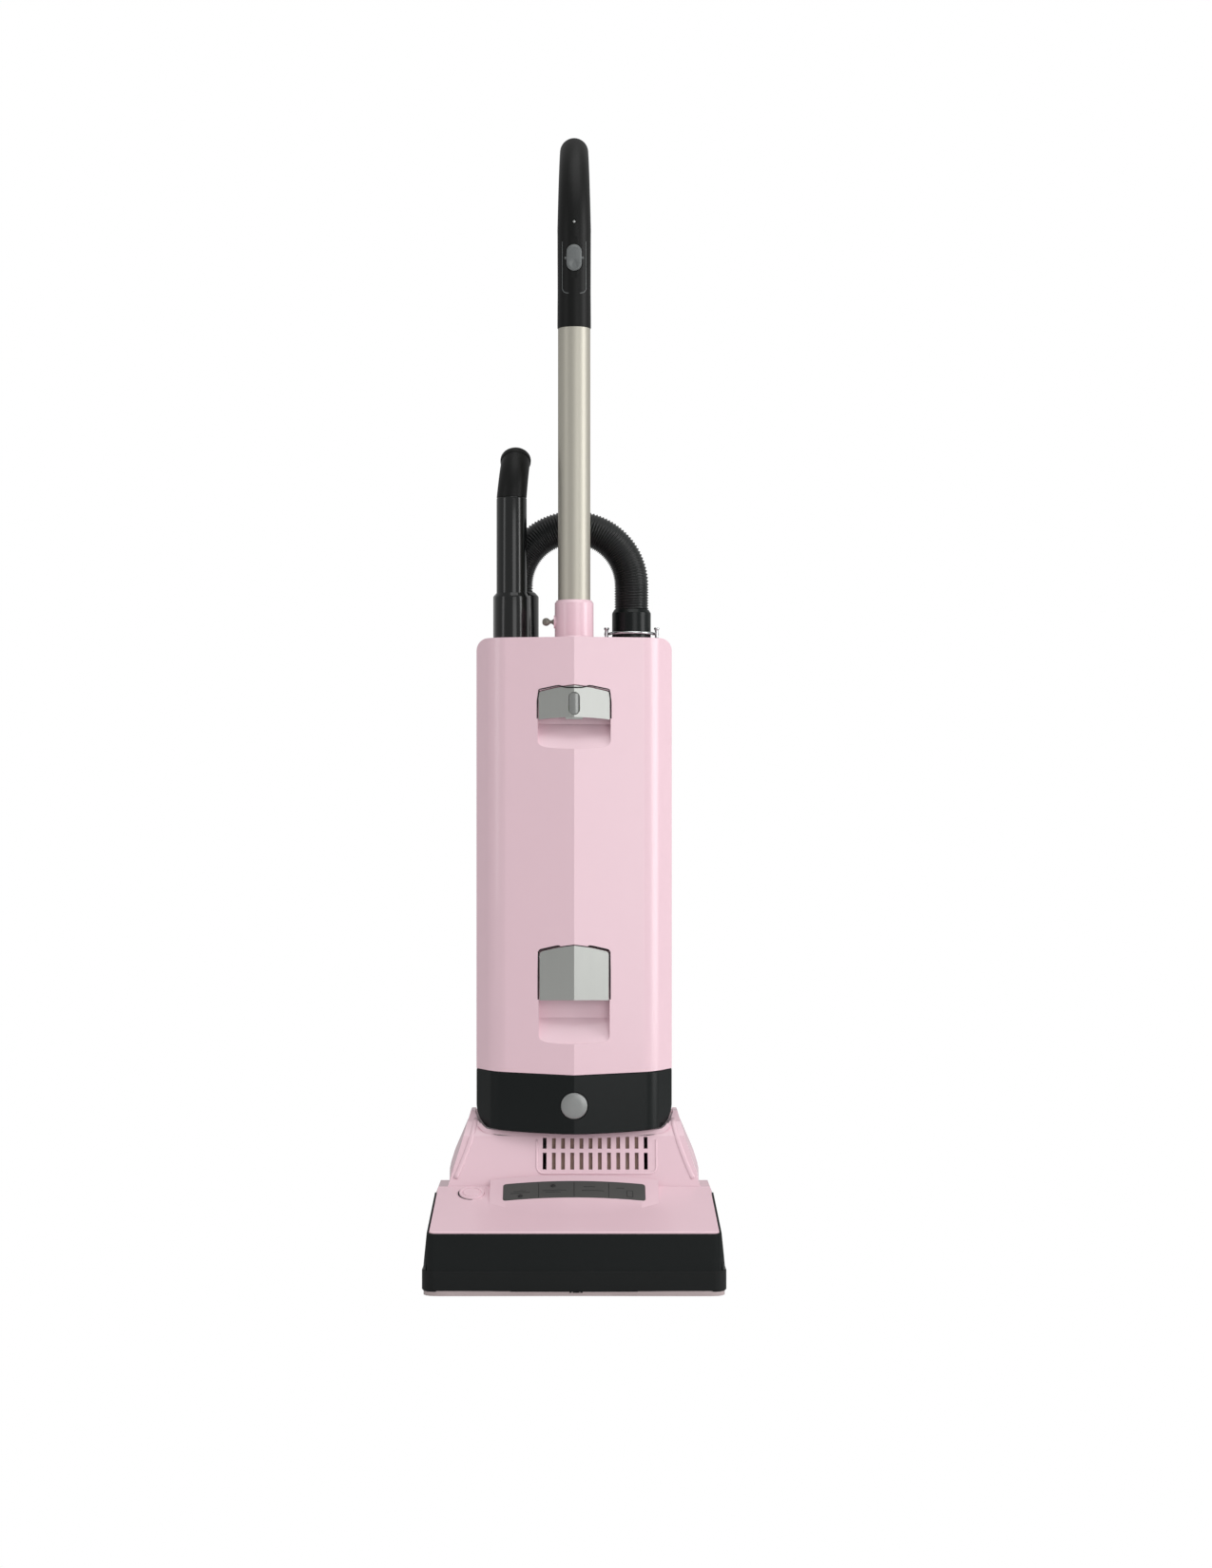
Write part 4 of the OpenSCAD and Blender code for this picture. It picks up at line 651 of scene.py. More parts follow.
def upright_corners(bm, least, most):
    """Long upright edges of the front between two shares of the half width."""
    half = max(v.co.x for v in bm.verts)
    bm.normal_update()
    found = []
    for edge in bm.edges:
        a, b = (v.co for v in edge.verts)
        sides = sorted((abs(a.x), abs(b.x)))
        if sides[0] < least * half or sides[1] > most * half or len(edge.link_faces) != 2:
            continue
        fronts = any(face.normal.y < -0.3 for face in edge.link_faces)
        rise = abs(a.z - b.z)
        if fronts and rise > max(0.95 * (a - b).length, 20 * MM) and edge.calc_face_angle() > math.radians(6):
            found.append(edge)
    return found


def blend_corners(bm):
    """Makes the long upright bends near the sides of the front broad and soft, and bows the seam below the door."""
    bmesh.ops.bevel(bm, geom=upright_corners(bm, 0.7, 0.97), offset=CORNER_RUN * MM, offset_type="OFFSET", segments=10,
                    profile=0.5, affect="EDGES", clamp_overlap=True)
    seam = low("front_door").z - 0.3
    facet = 84                                   # where the front's middle facets end
    for v in bm.verts:
        if abs(v.co.z / MM - seam) < 3 and v.co.y < 10 * MM:
            x = abs(v.co.x) / MM
            v.co.z += (-1.2 + 3.1 * min(x, facet) / facet + 1.6 * max(0, x - facet) / 20) * MM


def rounded(node, radius):
    """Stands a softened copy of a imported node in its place; the front's crease stays crisp."""
    bm = welded(node)
    if node in CORNERED:
        blend_corners(bm)
    mesh = bpy.data.meshes.new(node + "_shell")
    bm.to_mesh(mesh)
    bm.free()
    obj = new_piece(node + "_shell", mesh, BODY[node], SLOT[node], 33 if node in RIDGED else 20)
    if node in RIDGED:
        for edge in mesh.edges:
            if max(abs(mesh.vertices[v].co.x) for v in edge.vertices) < 0.2 * MM:
                edge.use_edge_sharp = True
    soften(obj, radius, 2)
    flat = obj.modifiers.new("flat_faces", "WEIGHTED_NORMAL")
    flat.keep_sharp = True
    flat.weight = 50
    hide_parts(node)


def finish_node(node):
    """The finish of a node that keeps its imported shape."""
    data = NODES[node].data
    data.materials.clear()
    data.materials.append(FINISH[SLOT[node]])


# ---------------------------------------------------------------- hose, wand and handle


def ribbed_hose():
    """The hose with one helical rib, from the deck's cuff over the arch to the wand's collar."""
    around, per_rib = 48, 6
    arch = (PORT.x - WAND.x) / 2
    foot_right, foot_left, arch_z = low("hose").z, DECK + 48.3, high("hose").z - arch - 17
    up, over, down = arch_z - foot_right, math.pi * arch, arch_z - foot_left
    length = up + over + down
    count = round(length / RIB_PITCH) * per_rib
    rings = []
    for i in range(count + 1):
        d = length * i / count
        if d < up:
            x, z, a = PORT.x, foot_right + d, 0.0
        elif d < up + over:
            a = (d - up) / arch
            x, z = PORT.x - arch + arch * math.cos(a), arch_z + arch * math.sin(a)
        else:
            x, z, a = WAND.x, arch_z - (d - up - over), math.pi
        ring = []
        for b in turns(around):
            wave = 0.5 + 0.5 * math.cos(2 * math.pi * (d / RIB_PITCH) - b)
            r = HOSE_R - RIB_DEPTH * (1 - wave ** 1.5)
            ring.append(at(x + r * math.cos(b) * math.cos(a), PORT.y + r * math.sin(b),
                           z + r * math.cos(b) * math.sin(a)))
        rings.append(ring)
    mesh = mesh_from(lofted(rings), "ribbed_hose")
    mesh.materials.append(FINISH["hose_black"])
    mesh.shade_smooth()
    hose = add("ribbed_hose", mesh)
    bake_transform(hose)
    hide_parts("hose")


def handle_grip():
    """The soft handle: a stem with a shallow seat for the rocker, and a curve that leans back."""
    bend_foot, screw_z = GRIP_LOW + 106, GRIP_LOW + 113
    curve = bend(120, 54, bend_foot, GRIP_R, GRIP_R - 2.6, 22)
    front = TUBE.y - GRIP_R
    hidden = TUBE_R - 1.6                        # the spigot inside the handle tube
    stem = ((-28, hidden), (0.2, hidden), (0.25, GRIP_R - 0.9), (0.6, GRIP_R - 0.25), (1.4, GRIP_R),
            (40, GRIP_R - 0.25), (102, GRIP_R - 0.1))
    skin = swept([(0, 0, GRIP_LOW + h, r, 0) for h, r in stem] + curve + dome(curve[-1], 15, 12), (0, TUBE.y), 72)
    seat, well = (capsule((ROCKER.x, front, ROCKER.z), half_w, half_h, ((1, -deep), (1, deep)))
                  for half_w, half_h, deep in ((12.4, 22.5, 0.55), (9.0, 14.9, 7)))
    hole = turned(((0, front - 3), (2.4, front - 3), (2.4, front + 3), (0, front + 3)), "Y", (0, 0, screw_z), 48)
    mesh = carved(mesh_from(skin, "handle_grip_skin"), (seat, well, hole))
    obj = new_piece("handle_grip_skin", mesh, "upper", "black_grip", 30)
    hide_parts("handle_grip")
    screw = turned(((0, -1.4), (0.9, -1.5), (1.9, -1.2), (2.1, 0.4)), "Y", (0, front + 2.6, screw_z), 32)
    new_piece("grip_screw", screw, "upper", "zinc_screw")
    # the parting line round the grip's front panel
    half, foot, top, r = 12.8, GRIP_LOW + 36, GRIP_LOW + 92, 6
    edge = [(-half, top), (-half, foot + r)]
    edge += [(-half + r - r * math.cos(a), foot + r - r * math.sin(a)) for a in (math.pi / 16 * k for k in range(1, 9))]
    edge += [(half - r + r * math.sin(a), foot + r - r * math.cos(a)) for a in (math.pi / 16 * k for k in range(9))]
    path = []
    for x, z in edge + [(half, top)]:
        back = math.sqrt(GRIP_R ** 2 - x * x)
        path.append((Vector((x, TUBE.y - back + 0.02, z)), Vector((x, -back, 0)).normalized()))
    new_piece("grip_line", beads([path], 0.7, 0.12), "upper", "rocker_grey")
    new_piece("hook_boss", turned(((10.2, 0), (10.2, 4), (9.4, 5), (4.2, 5)), "Y", (0, TUBE.y + 21, GRIP_LOW + 60), 48),
              "upper", "black_grip")


def rocker():
    """The rocker's crowned cap, dished for a thumb at its foot."""
    lo, hi = low("switch_rocker"), high("switch_rocker")

    def face(x, z):
        dish = 1.5 * math.exp(-((z + 7.5) ** 2 + (1.2 * x) ** 2) / 26)
        return -1.3 + 0.010 * x * x + 0.0025 * z * z + dish

    side = ((1.0, 6.0), (1.0, 1.4), (0.985, 0.7), (0.95, 0.1))
    crown = tuple((scale, face) for scale in (0.9, 0.75, 0.6, 0.45, 0.3, 0.15, 0.05))
    cap = capsule((0, lo.y, ROCKER.z), 8.3, (hi.z - lo.z) / 2, side + crown)
    obj = new_piece("rocker_cap", cap, "rocker", "rocker_grey")
    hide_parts("switch_rocker")


def wand_grip():
    """The wand's collar and its bent grip, glossy below the bend and matt above it."""
    top, foot, r, bore = DECK + 58, low("wand_grip").z, 25.0, WAND_R + 0.1
    shape = turned(((bore, foot), (r - 1, foot), (r, foot + 1), (r, top - 5), (r - 0.6, top - 4), (r - 3.6, top - 0.6),
                    (r - 4.4, top), (HOSE_R + 0.9, top), (HOSE_R + 0.5, top - 0.6), (HOSE_R + 0.5, top - 9),
                    (bore, top - 9.5), (bore, foot)), "Z", (WAND.x, WAND.y, 0), 96)
    socket = ((0, 0.2), (18, 0.2), (19, 1.2), (19, 45), (18.6, 46.4), (17.6, 48.2), (16.8, 50), (0, 50))
    turned([(q, foot + h) for q, h in socket], "Z", (STEM.x, STEM.y, 0), 96, shape)
    # cheeks that join the two round collars
    slab(shape, (STEM.x - 18.6, STEM.y, foot + 0.6), (STEM.x + 18.6, WAND.y, foot + 45))
    collar = new_piece("wand_collar", shape, "wand", "black_gloss", 32)
    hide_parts("wand_grip")
    bend_foot = high("wand_grip").z - 53.3
    straight = ((foot + 30, 0), (foot + 62, 0), (bend_foot - 2, 0), (bend_foot - 0.6, 0.4), (bend_foot, 0.8))
    stem = swept([(0, 0, z, STEM_R - less, 0) for z, less in straight], STEM, 72)
    new_piece("wand_stem", stem, "wand", "black_gloss", 32)
    curve = bend(60, 42, bend_foot, STEM_R - 0.1, STEM_R - 0.7, 16, 4.0)
    x, y, z, _, a = curve[-1]
    lip = [(x, y + 0.4, z + 0.4, STEM_R + 0.2, a), (x, y + 2.6, z + 2.9, STEM_R + 0.3, a)]
    hook = swept([(0, 0, bend_foot - 0.2, STEM_R - 0.8, 0)] + curve + lip + dome(lip[-1], 9, 10), STEM, 72)
    new_piece("wand_bend", hook, "wand", "black_grip", 40)


# ---------------------------------------------------------------- lines and marks that lie on a surface

TREES = {}
AWAY, DOWN, UP = (0, 1, 0), (0, 0, -1), (0, 0, 1)


def surface(node, start, towards):
    """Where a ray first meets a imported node: the point and its outward normal."""
    if node not in TREES:
        bm = bmesh.new()
        bm.from_mesh(NODES[node].data)
        TREES[node] = BVHTree.FromBMesh(bm)
        bm.free()
    aim = Vector(towards).normalized()
    hit, normal = TREES[node].ray_cast(Vector(start) * MM, aim)[:2]
    if hit is None:
        return None
    return hit / MM, -normal if normal.dot(aim) > 0 else normal


def front_of(node, x, z):
    """The point of a node's front at a place, and its normal."""
    return surface(node, (x, -400, z), AWAY)


def laid(node, spots):
    """Spots of a line laid on a node from above."""
    found = (surface(node, (x, y, 300), DOWN) for x, y in spots)
    return [f for f in found if f]


def beads(paths, width, height, closed=False, bm=None):
    """Low rounded beads along paths of (point, normal) pairs."""
    if bm is None:
        bm = bmesh.new()
    for path in paths:
        count = len(path)
        rings = []
        for i, (point, normal) in enumerate(path):
            before = path[i - 1][0] if i or closed else point
            after = path[(i + 1) % count][0] if i + 1 < count or closed else point
            side = (after - before).cross(normal).normalized()
            crown = [(math.cos(a), height * math.sin(a)) for a in (0, 0.5, 1.05, 1.57, 2.09, 2.64, math.pi)]
            sunk = [(math.cos(a), -0.25) for a in (4.2, 5.2)]
            rings.append([(point + side * (width / 2 * u) + normal * v) * MM for u, v in crown + sunk])
        ring_loft(bm, rings + rings[:1] if closed else rings, not closed)
    return bm


def line_spots(x0, y0, x1, y1):
    """Seven even spots on a straight line."""
    return [(x0 + (x1 - x0) * k / 6, y0 + (y1 - y0) * k / 6) for k in range(7)]


def circle_spots(x, y, r, steps, first=0, last=360):
    """Spots round a circle, or along its arc from first to last in degrees."""
    turn = [math.radians(first + (last - first) * k / steps) for k in range(steps + (last - first < 360))]
    return [(x + r * math.cos(a), y + r * math.sin(a)) for a in turn]


def box_spots(x0, x1, z0, z1, r, step):
    """Spots round a rectangle with rounded corners."""
    corners = ((x1 - r, z1 - r, 0), (x0 + r, z1 - r, 90), (x0 + r, z0 + r, 180), (x1 - r, z0 + r, 270))
    turn = [(cx, cz, math.radians(start + a)) for cx, cz, start in corners for a in (0, 22.5, 45, 67.5, 90)]
    out = [(cx + r * math.cos(a), cz + r * math.sin(a)) for cx, cz, a in turn]
    fine = []
    for (xa, za), (xb, zb) in zip(out, out[1:] + out[:1]):
        parts = max(1, round(math.hypot(xb - xa, zb - za) / step))
        fine += [(xa + (xb - xa) * k / parts, za + (zb - za) * k / parts) for k in range(parts)]
    return fine


# ---------------------------------------------------------------- upper body


def window_lens():
    """The half-round bar of smoky plastic over the indicator's window."""
    lo, hi = low("indicator_lens"), high("indicator_lens")
    half = half_width("indicator_lens") - 0.4
    rings = []
    for z, share in ((lo.z + 0.1, 0.5), (lo.z + 0.9, 0.85), (lo.z + 2.4, 1),
                     (hi.z - 2.6, 1), (hi.z - 1.0, 0.85), (hi.z - 0.1, 0.5)):
        round_front = [at(half * share * math.cos(a), hi.y - 0.5 - 1.6 * share * math.sin(a), z)
                       for a in (math.pi * k / 24 for k in range(25))]
        rings.append(round_front + [at(side * half * share, hi.y - 0.1, z) for side in (-1, 1)])
    lens = new_piece("window_lens", lofted(rings), BODY["indicator_lens"], "lens_smoke", 50)
    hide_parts("indicator_lens")


def coil(node, axis, loops):
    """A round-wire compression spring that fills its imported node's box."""
    wire, travel, per_loop = 0.5, 4.2, 28
    lo, hi, c = low(node), high(node), middle(node)
    tall = hi.y - lo.y if axis == "Y" else hi.z - lo.z
    r = half_width(node) - 0.55
    rings = []
    count = loops * per_loop
    for i in range(count + 1):
        a = 2 * math.pi * i / per_loop
        t = min(1, max(0, (i - 24) / (count - 48)))
        h = -tall / 2 + 0.55 + (tall - 1.1) * t
        section = [(r + wire * math.cos(b), h + wire * math.sin(b)) for b in turns(8)]
        rings.append([place(axis, c, q * math.cos(a), q * math.sin(a), level) for q, level in section])
    spring = new_piece(node + "_coil", lofted(rings), BODY[node], SLOT[node])
    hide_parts(node)
    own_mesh(spring)


def clip_posts():
    """The two spool-shaped posts that hold the wire clip."""
    clip = middle("wire_clip")
    spool = ((0, -7.6), (2.5, -7.6), (2.9, -7.2), (2.9, -6.0), (2.1, -5.2), (1.9, -3), (1.9, 3), (2.1, 3.8), (2.7, 4.4),
             (2.9, 4.8), (2.9, 5.8), (2.5, 6.4), (0, 6.6))
    for side, name in ((-1, "left"), (1, "right")):
        post = turned(spool, "Z", (PORT.x + side * 27.5, PORT.y - 7.2, clip.z), 32)
        new_piece("clip_post_" + name, post, "upper", "steel_bright", 40)


def thumb_screw():
    """The screw's flat wing and waisted neck."""
    lo, mid = low("thumb_screw"), middle("thumb_screw")
    long = high("thumb_screw").x - lo.x
    bm = turned(((0, 0), (1.8, 0.2), (3.3, 1.2), (4.2, 3.0), (4.4, 4.6), (3.9, 6.2), (2.9, 7.4), (2.0, 8.4), (1.8, 9.6),
                 (2.2, 10.8), (3.2, 12.0), (4.4, 13.0), (4.4, long), (0, long)), "X", (lo.x, mid.y, mid.z), 40)
    for v in bm.verts:
        if v.co.x < (lo.x + 8) * MM:
            v.co.y = mid.y * MM + (v.co.y - mid.y * MM) * 0.45
    screw = new_piece("thumb_screw_wing", bm, BODY["thumb_screw"], "worn_zinc", 50)
    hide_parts("thumb_screw")


def shadow_gap(node, name, width, flare):
    """A painted shadow: a dark bead in the gap round the top and sides of a latch, which follows its bowed top and
    stays clear of its swing.
    """
    lo, hi, mid = low(node), high(node), middle(node)
    beside, over = 1.5, 1.7
    spots = [(lo.x - beside, lo.z + 1 + (mid.z - lo.z) * k / 8) for k in range(9)]
    for k in range(49):
        x = lo.x + 0.3 + (hi.x - lo.x - 0.6) * k / 48
        hit = surface(node, (x, low("front_door").y + 6, hi.z + 20), DOWN)
        if hit:
            spots.append((x * (1 + beside / hi.x), hit[0].z + over + flare * (x / hi.x) ** 2))
    spots += [(hi.x + beside, mid.z - (mid.z - lo.z - 1) * k / 8) for k in range(9)]
    path = []
    for x, z in spots:
        clear_x = math.copysign(1.6, x) * (abs(x) > hi.x)
        hit = surface("front_door", (x + clear_x, -200, z + (8 if z > mid.z + 4 else 0)), AWAY)
        if hit:
            path.append((Vector((x, hit[0].y, z)), hit[1]))
    # the dark bead is painted shadow laid in the gap
    new_piece(name, beads([path], width, 0.4), BODY["front_door"], "dark_hollow")


def cover_disc():
    """The round press button in the middle of the lower cover."""
    lo, hi = low("exhaust_button"), high("exhaust_button")
    mid, r, deep = middle("exhaust_button"), (hi.z - lo.z) / 2, hi.y - lo.y
    shape = turned(((0, 0.5), (0.5 * r, 0.6), (r - 1.2, 0.9), (r - 0.4, 1.3), (r, 2.2), (r, deep), (0, deep)),
                   "Y", (mid.x, lo.y, mid.z), 72)
    disc = new_piece("cover_disc", shape, BODY["exhaust_button"], "disc_silver", 40)
    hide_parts("exhaust_button")


# ---------------------------------------------------------------- dust bag, brush and tyres


def dust_bag():
    """The paper bag: a block-bottomed sack with gusseted sides, creased and slack."""
    lo, hi, c = low("dust_bag"), high("dust_bag"), middle("dust_bag")
    half_x, half_y, tall = half_width("dust_bag") - 0.6, (hi.y - lo.y) / 2 - 0.6, hi.z - lo.z - 1.6
    rings = []
    for i in range(73):
        t = i / 72
        ends = min(t, 1 - t)
        squeeze = 1 - 0.55 * math.exp(-(ends * 30) ** 1.3)
        z = lo.z + 0.8 + tall * t
        level = min(hi.z - 1.5, max(lo.z + 1.5, z))
        ring = []
        for a in turns(144):
            out = Vector((math.cos(a) * half_x, math.sin(a) * half_y, 0)).normalized()
            hit = surface("dust_bag", (c.x + out.x * 300, c.y + out.y * 300, level), (-out.x, -out.y, 0))
            reach = Vector((hit[0].x - c.x, hit[0].y - c.y, 0))
            x, y = reach.x / half_x, reach.y / half_y
            gusset = max(0, 1 - abs(y) / 0.55) * max(0, abs(x) - 0.75) / 0.25
            panel = (math.sin(7 * math.pi * t + 2.2 * x) * math.sin(3.1 * x + 5 * t)
                     + 0.7 * math.sin(23 * t - 4.7 * y + 1.9 * x))
            crumple = 0.975 + 0.008 * panel + 0.005 * math.sin(41 * t + 9 * x - 6 * y)
            crumple *= (0.94 + 0.06 * math.sin(math.pi * t)) * (1 - 0.1 * gusset)
            ring.append(at(c.x + reach.x * crumple * (0.97 + 0.03 * squeeze), c.y + reach.y * crumple * squeeze, z))
        rings.append(ring)
    bag = new_piece("paper_bag", lofted(rings), BODY["dust_bag"], SLOT["dust_bag"], 50)
    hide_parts("dust_bag")


def scatter_tree(name, template, material):
    """Geometry nodes that stand a copy of a template on each point, turned along the point's way."""
    tree = bpy.data.node_groups.new(name, "GeometryNodeTree")
    face = tree.interface
    face.new_socket("Geometry", in_out="INPUT", socket_type="NodeSocketGeometry")
    size = face.new_socket("Least size", in_out="INPUT", socket_type="NodeSocketFloat")
    face.new_socket("Geometry", in_out="OUTPUT", socket_type="NodeSocketGeometry")

    def node(kind, **values):
        made = tree.nodes.new(kind)
        put(made, **values)
        return made

    start, end = node("NodeGroupInput"), node("NodeGroupOutput")
    shape = node("GeometryNodeObjectInfo", Object=template)
    way = node("GeometryNodeInputNamedAttribute", Name="way")
    way.data_type = "FLOAT_VECTOR"
    turn = node("FunctionNodeAlignRotationToVector")
    turn.axis = "Z"
    chance = node("FunctionNodeRandomValue", Max=1.0, Seed=7)
    stand = node("GeometryNodeInstanceOnPoints")
    real, paint = node("GeometryNodeRealizeInstances"), node("GeometryNodeSetMaterial", Material=FINISH[material])
    floats = [k for k in chance.inputs if k.type == "VALUE" and k.enabled]
    floats[1].default_value = 1.0
    for source, socket in (
        (way.outputs[0], turn.inputs["Vector"]),
        (start.outputs["Least size"], floats[0]),
        (start.outputs["Geometry"], stand.inputs["Points"]),
        (shape.outputs["Geometry"], stand.inputs["Instance"]),
        (turn.outputs[0], stand.inputs["Rotation"]),
        ([k for k in chance.outputs if k.type == "VALUE" and k.enabled][0], stand.inputs["Scale"]),
        (stand.outputs[0], real.inputs[0]),
        (real.outputs[0], paint.inputs[0]),
        (paint.outputs[0], end.inputs[0]),
    ):
        tree.links.new(source, socket)
    return tree, size.identifier


def scattered(name, shape, seats, body, material, least=1.0):
    """Copies of one small shape at seats of (point, way) in metres, as one plain mesh on one body."""
    template = bpy.data.objects.new(name + "_shape", mesh_from(shape, name + "_shape"))
    points = bpy.data.meshes.new(name + "_seats")
    points.from_pydata([p for p, _ in seats], [], [])
    ways = points.attributes.new("way", "FLOAT_VECTOR", "POINT")
    for k, (_, way) in enumerate(seats):
        ways.data[k].vector = way
    holder = add(name + "_holder", points)
    tree, size = scatter_tree(name, template, material)
    mod = holder.modifiers.new(name, "NODES")
    mod.node_group = tree
    mod[size] = least
    mesh = bpy.data.meshes.new_from_object(holder.evaluated_get(bpy.context.evaluated_depsgraph_get()))
    for gone in (holder, template):
        bpy.data.objects.remove(gone)
    return new_piece(name, mesh, body, None if mesh.materials else material, 40)


def islands(node):
    """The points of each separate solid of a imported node."""
    bm = bmesh.new()
    bm.from_mesh(NODES[node].data)
    seen, groups = set(), []
    for v in bm.verts:
        if v.index in seen:
            continue
        seen.add(v.index)
        group, todo = [], [v]
        while todo:
            w = todo.pop()
            group.append(w.co.copy())
            for edge in w.link_edges:
                other = edge.other_vert(w)
                if other.index not in seen:
                    seen.add(other.index)
                    todo.append(other)
        groups.append(group)
    bm.free()
    return groups


def brush_tufts():
    """The brush's tufts: each packed tuft becomes a spray of fine bristles."""
    axis = middle("brush_core") * MM
    chance = random.Random(11)
    per_tuft, spread = 19, 2.3 * MM
    seats, reach = [], 0
    for group in islands("brush_bristles"):
        centre = sum(group, Vector()) / len(group)
        out = Vector((0, centre.y - axis.y, centre.z - axis.z)).normalized()
        along = [(g - centre).dot(out) for g in group]
        reach = max(along) - min(along)
        side = out.cross(Vector((1, 0, 0)))
        for k in range(per_tuft):
            r, a = spread * math.sqrt((k + 0.3) / per_tuft), 2.4 * k
            lean = Vector((math.cos(a), 0, 0)) + side * math.sin(a)
            seat = centre + out * min(along) + lean * r * 0.75
            tip = out + lean * (0.35 * r / spread) * 0.3 + side * chance.uniform(-0.02, 0.02)
            seats.append((seat, tip.normalized()))
    tall = reach / MM
    bristle = turned(((0, 0), (0.34, 0), (0.32, tall * 0.6), (0.26, tall - 0.2), (0, tall)), "Z", (0, 0, 0), 6)
    obj = scattered("bristle_tufts", bristle, seats, BODY["brush_bristles"], SLOT["brush_bristles"], 0.93)
    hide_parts("brush_bristles")


def screws():
    """Round-headed screws on the back of the upper body and under the sole."""
    back = [(x, 400, z) for x in (-88, 88) for z in (190, 420, 650)]
    sole = [(x, y, -50) for x in (-125, 0, 125) for y in (-146, -76)]
    for name, node, r, spots, towards in (("back_screws", "chassis", 3.6, back, (0, -1, 0)),
                                          ("sole_screws", "sole_plate", 2.8, sole, UP)):
        profile = ((0, 0.5), (0.45 * r, 0.5), (0.5 * r, 1.45), (0.75 * r, 1.3), (0.95 * r, 0.8),
                   (r, 0.3), (r, -1), (0, -1))
        head = turned(profile, "Z", (0, 0, 0), 30)
        hits = [surface(node, spot, towards) for spot in spots]
        scattered(name, head, [(hit[0] * MM, hit[1]) for hit in hits if hit], BODY[node], "zinc_screw")


def tyre(node):
    """A rubber tyre with three grooves round its tread and sipes across its shoulders."""
    lo, hi, c = low(node), high(node), middle(node)
    outer, half = (hi.z - lo.z) / 2, half_width(node)
    inner = outer - TYRE_DEPTH
    around, across = 216, 44
    rim = ((half, 3.4), (half - 0.9, 0.6), (half - 1.2, 0), (1.2 - half, 0), (0.9 - half, 0.6), (-half, 3.4))
    rings = []
    for k, a in enumerate(turns(around)):
        section = []
        for j in range(across + 1):
            u = -1 + 2 * j / across
            crown = outer - 1.2 * abs(u) ** 2.4 - 2.6 * max(0, abs(u) - 0.86) / 0.14 * abs(u) ** 8
            groove = max(0, 1 - min(abs(abs(u) - 0.42), abs(u)) / 0.07)
            step = (k + (5 if u > 0 else 0)) % 12
            sipe = 1.0 if step < 2 and 0.5 < abs(u) < 0.97 else 0.0
            section.append((u * half, crown - 1.5 * groove ** 0.5 - 1.0 * sipe))
        section += [(x, inner + rise) for x, rise in rim]
        rings.append([at(c.x + x, c.y + r * math.cos(a), c.z + r * math.sin(a)) for x, r in section])
    obj = new_piece(node + "_tread", lofted(rings + rings[:1], False), BODY[node], SLOT[node], 35)
    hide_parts(node)


def pleated_filter():
    """The exhaust filter: a frame round upright pleats."""
    lo, hi = low("exhaust_filter"), high("exhaust_filter")
    edge, pitch, per_pleat, overlap = 5.0, 3.6, 8, 0.4
    bm = bmesh.new()
    for x0, z0, x1, z1 in ((lo.x, lo.z, hi.x, lo.z + edge), (lo.x, hi.z - edge, hi.x, hi.z),
                           (lo.x, lo.z + edge, lo.x + edge, hi.z - edge),
                           (hi.x - edge, lo.z + edge, hi.x, hi.z - edge)):
        slab(bm, (x0, lo.y, z0), (x1, hi.y, z1))
    soften(new_piece("filter_frame", bm, BODY["exhaust_filter"], "dark_moulding"), 0.5, 3)
    x0, x1 = lo.x + edge - overlap, hi.x - edge + overlap
    count = round((x1 - x0) / pitch) * per_pleat
    front = []
    for k in range(count + 1):
        wave = 0.5 + 0.5 * math.cos(2 * math.pi * k / per_pleat)
        front.append((x0 + (x1 - x0) * k / count, lo.y + 1.2 + 6.5 * (1 - wave ** 0.7)))
    loop = front + [(x, y + 5.5) for x, y in front[::-1]]
    pleats = lofted([[at(x, y, z) for x, y in loop] for z in (lo.z + edge - overlap, hi.z - edge + overlap)])
    pad = new_piece("filter_pleats", pleats, BODY["exhaust_filter"], SLOT["exhaust_filter"], 50)
    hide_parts("exhaust_filter")


# ---------------------------------------------------------------- power head


def panel_marks():
    """Field lines, lamps and plain dashes on the indicator panel."""
    panel = "indicator_panel"
    front, back = low(panel).y + 1.2, high(panel).y - 1.2
    lines = [laid(panel, line_spots(x, front, x, back)) for x in (-37, 0, 36)]
    new_piece("panel_lines", beads(lines, 0.7, 0.12), "head", "mark_black")
    lamps = [laid(panel, circle_spots(x, y, 1.5, 20)) for x, y in ((-56, -91), (-22, -77.5))]
    new_piece("panel_lamps", beads(lamps, 2.6, 0.5, True), "head", "mark_black")
    dashes = []
    for x0, x1, y in ((-66, -46, -86), (-63, -50, -83.2), (-33, -8, -84.5), (-30, -14, -87.3), (10, 22, -79),
                      (8, 31, -85), (44, 52, -79.5)):
        dashes.append(laid(panel, [(x0 + (x1 - x0) * k / 6, y + 0.25 * math.sin(5 * k)) for k in range(7)]))
    marks = beads(dashes, 1.0, 0.12)
    outline = laid(panel, [(x, y - 87.5) for x, y in box_spots(55, 61, -5, 5, 1, 2)])
    new_piece("panel_dashes", beads([outline], 0.8, 0.12, True, marks), "head", "mark_black")


def button_ring():
    """A painted shadow, the dark crescent on the left of the button's gap, and a fine moulded ring round it."""
    arc = laid("head_cover", circle_spots(BUTTON.x, BUTTON.y, 13.9, 30, 110, 275))
    # painted shadow: a dark crescent on the left side of the gap only
    new_piece("button_gap", beads([arc], 1.5, 0.12), "head", "dark_hollow")
    ring = laid("head_cover", circle_spots(BUTTON.x, BUTTON.y, 14.9, 64))
    new_piece("button_rim", beads([ring], 1.0, 0.25, True), "head", "pink_shell")


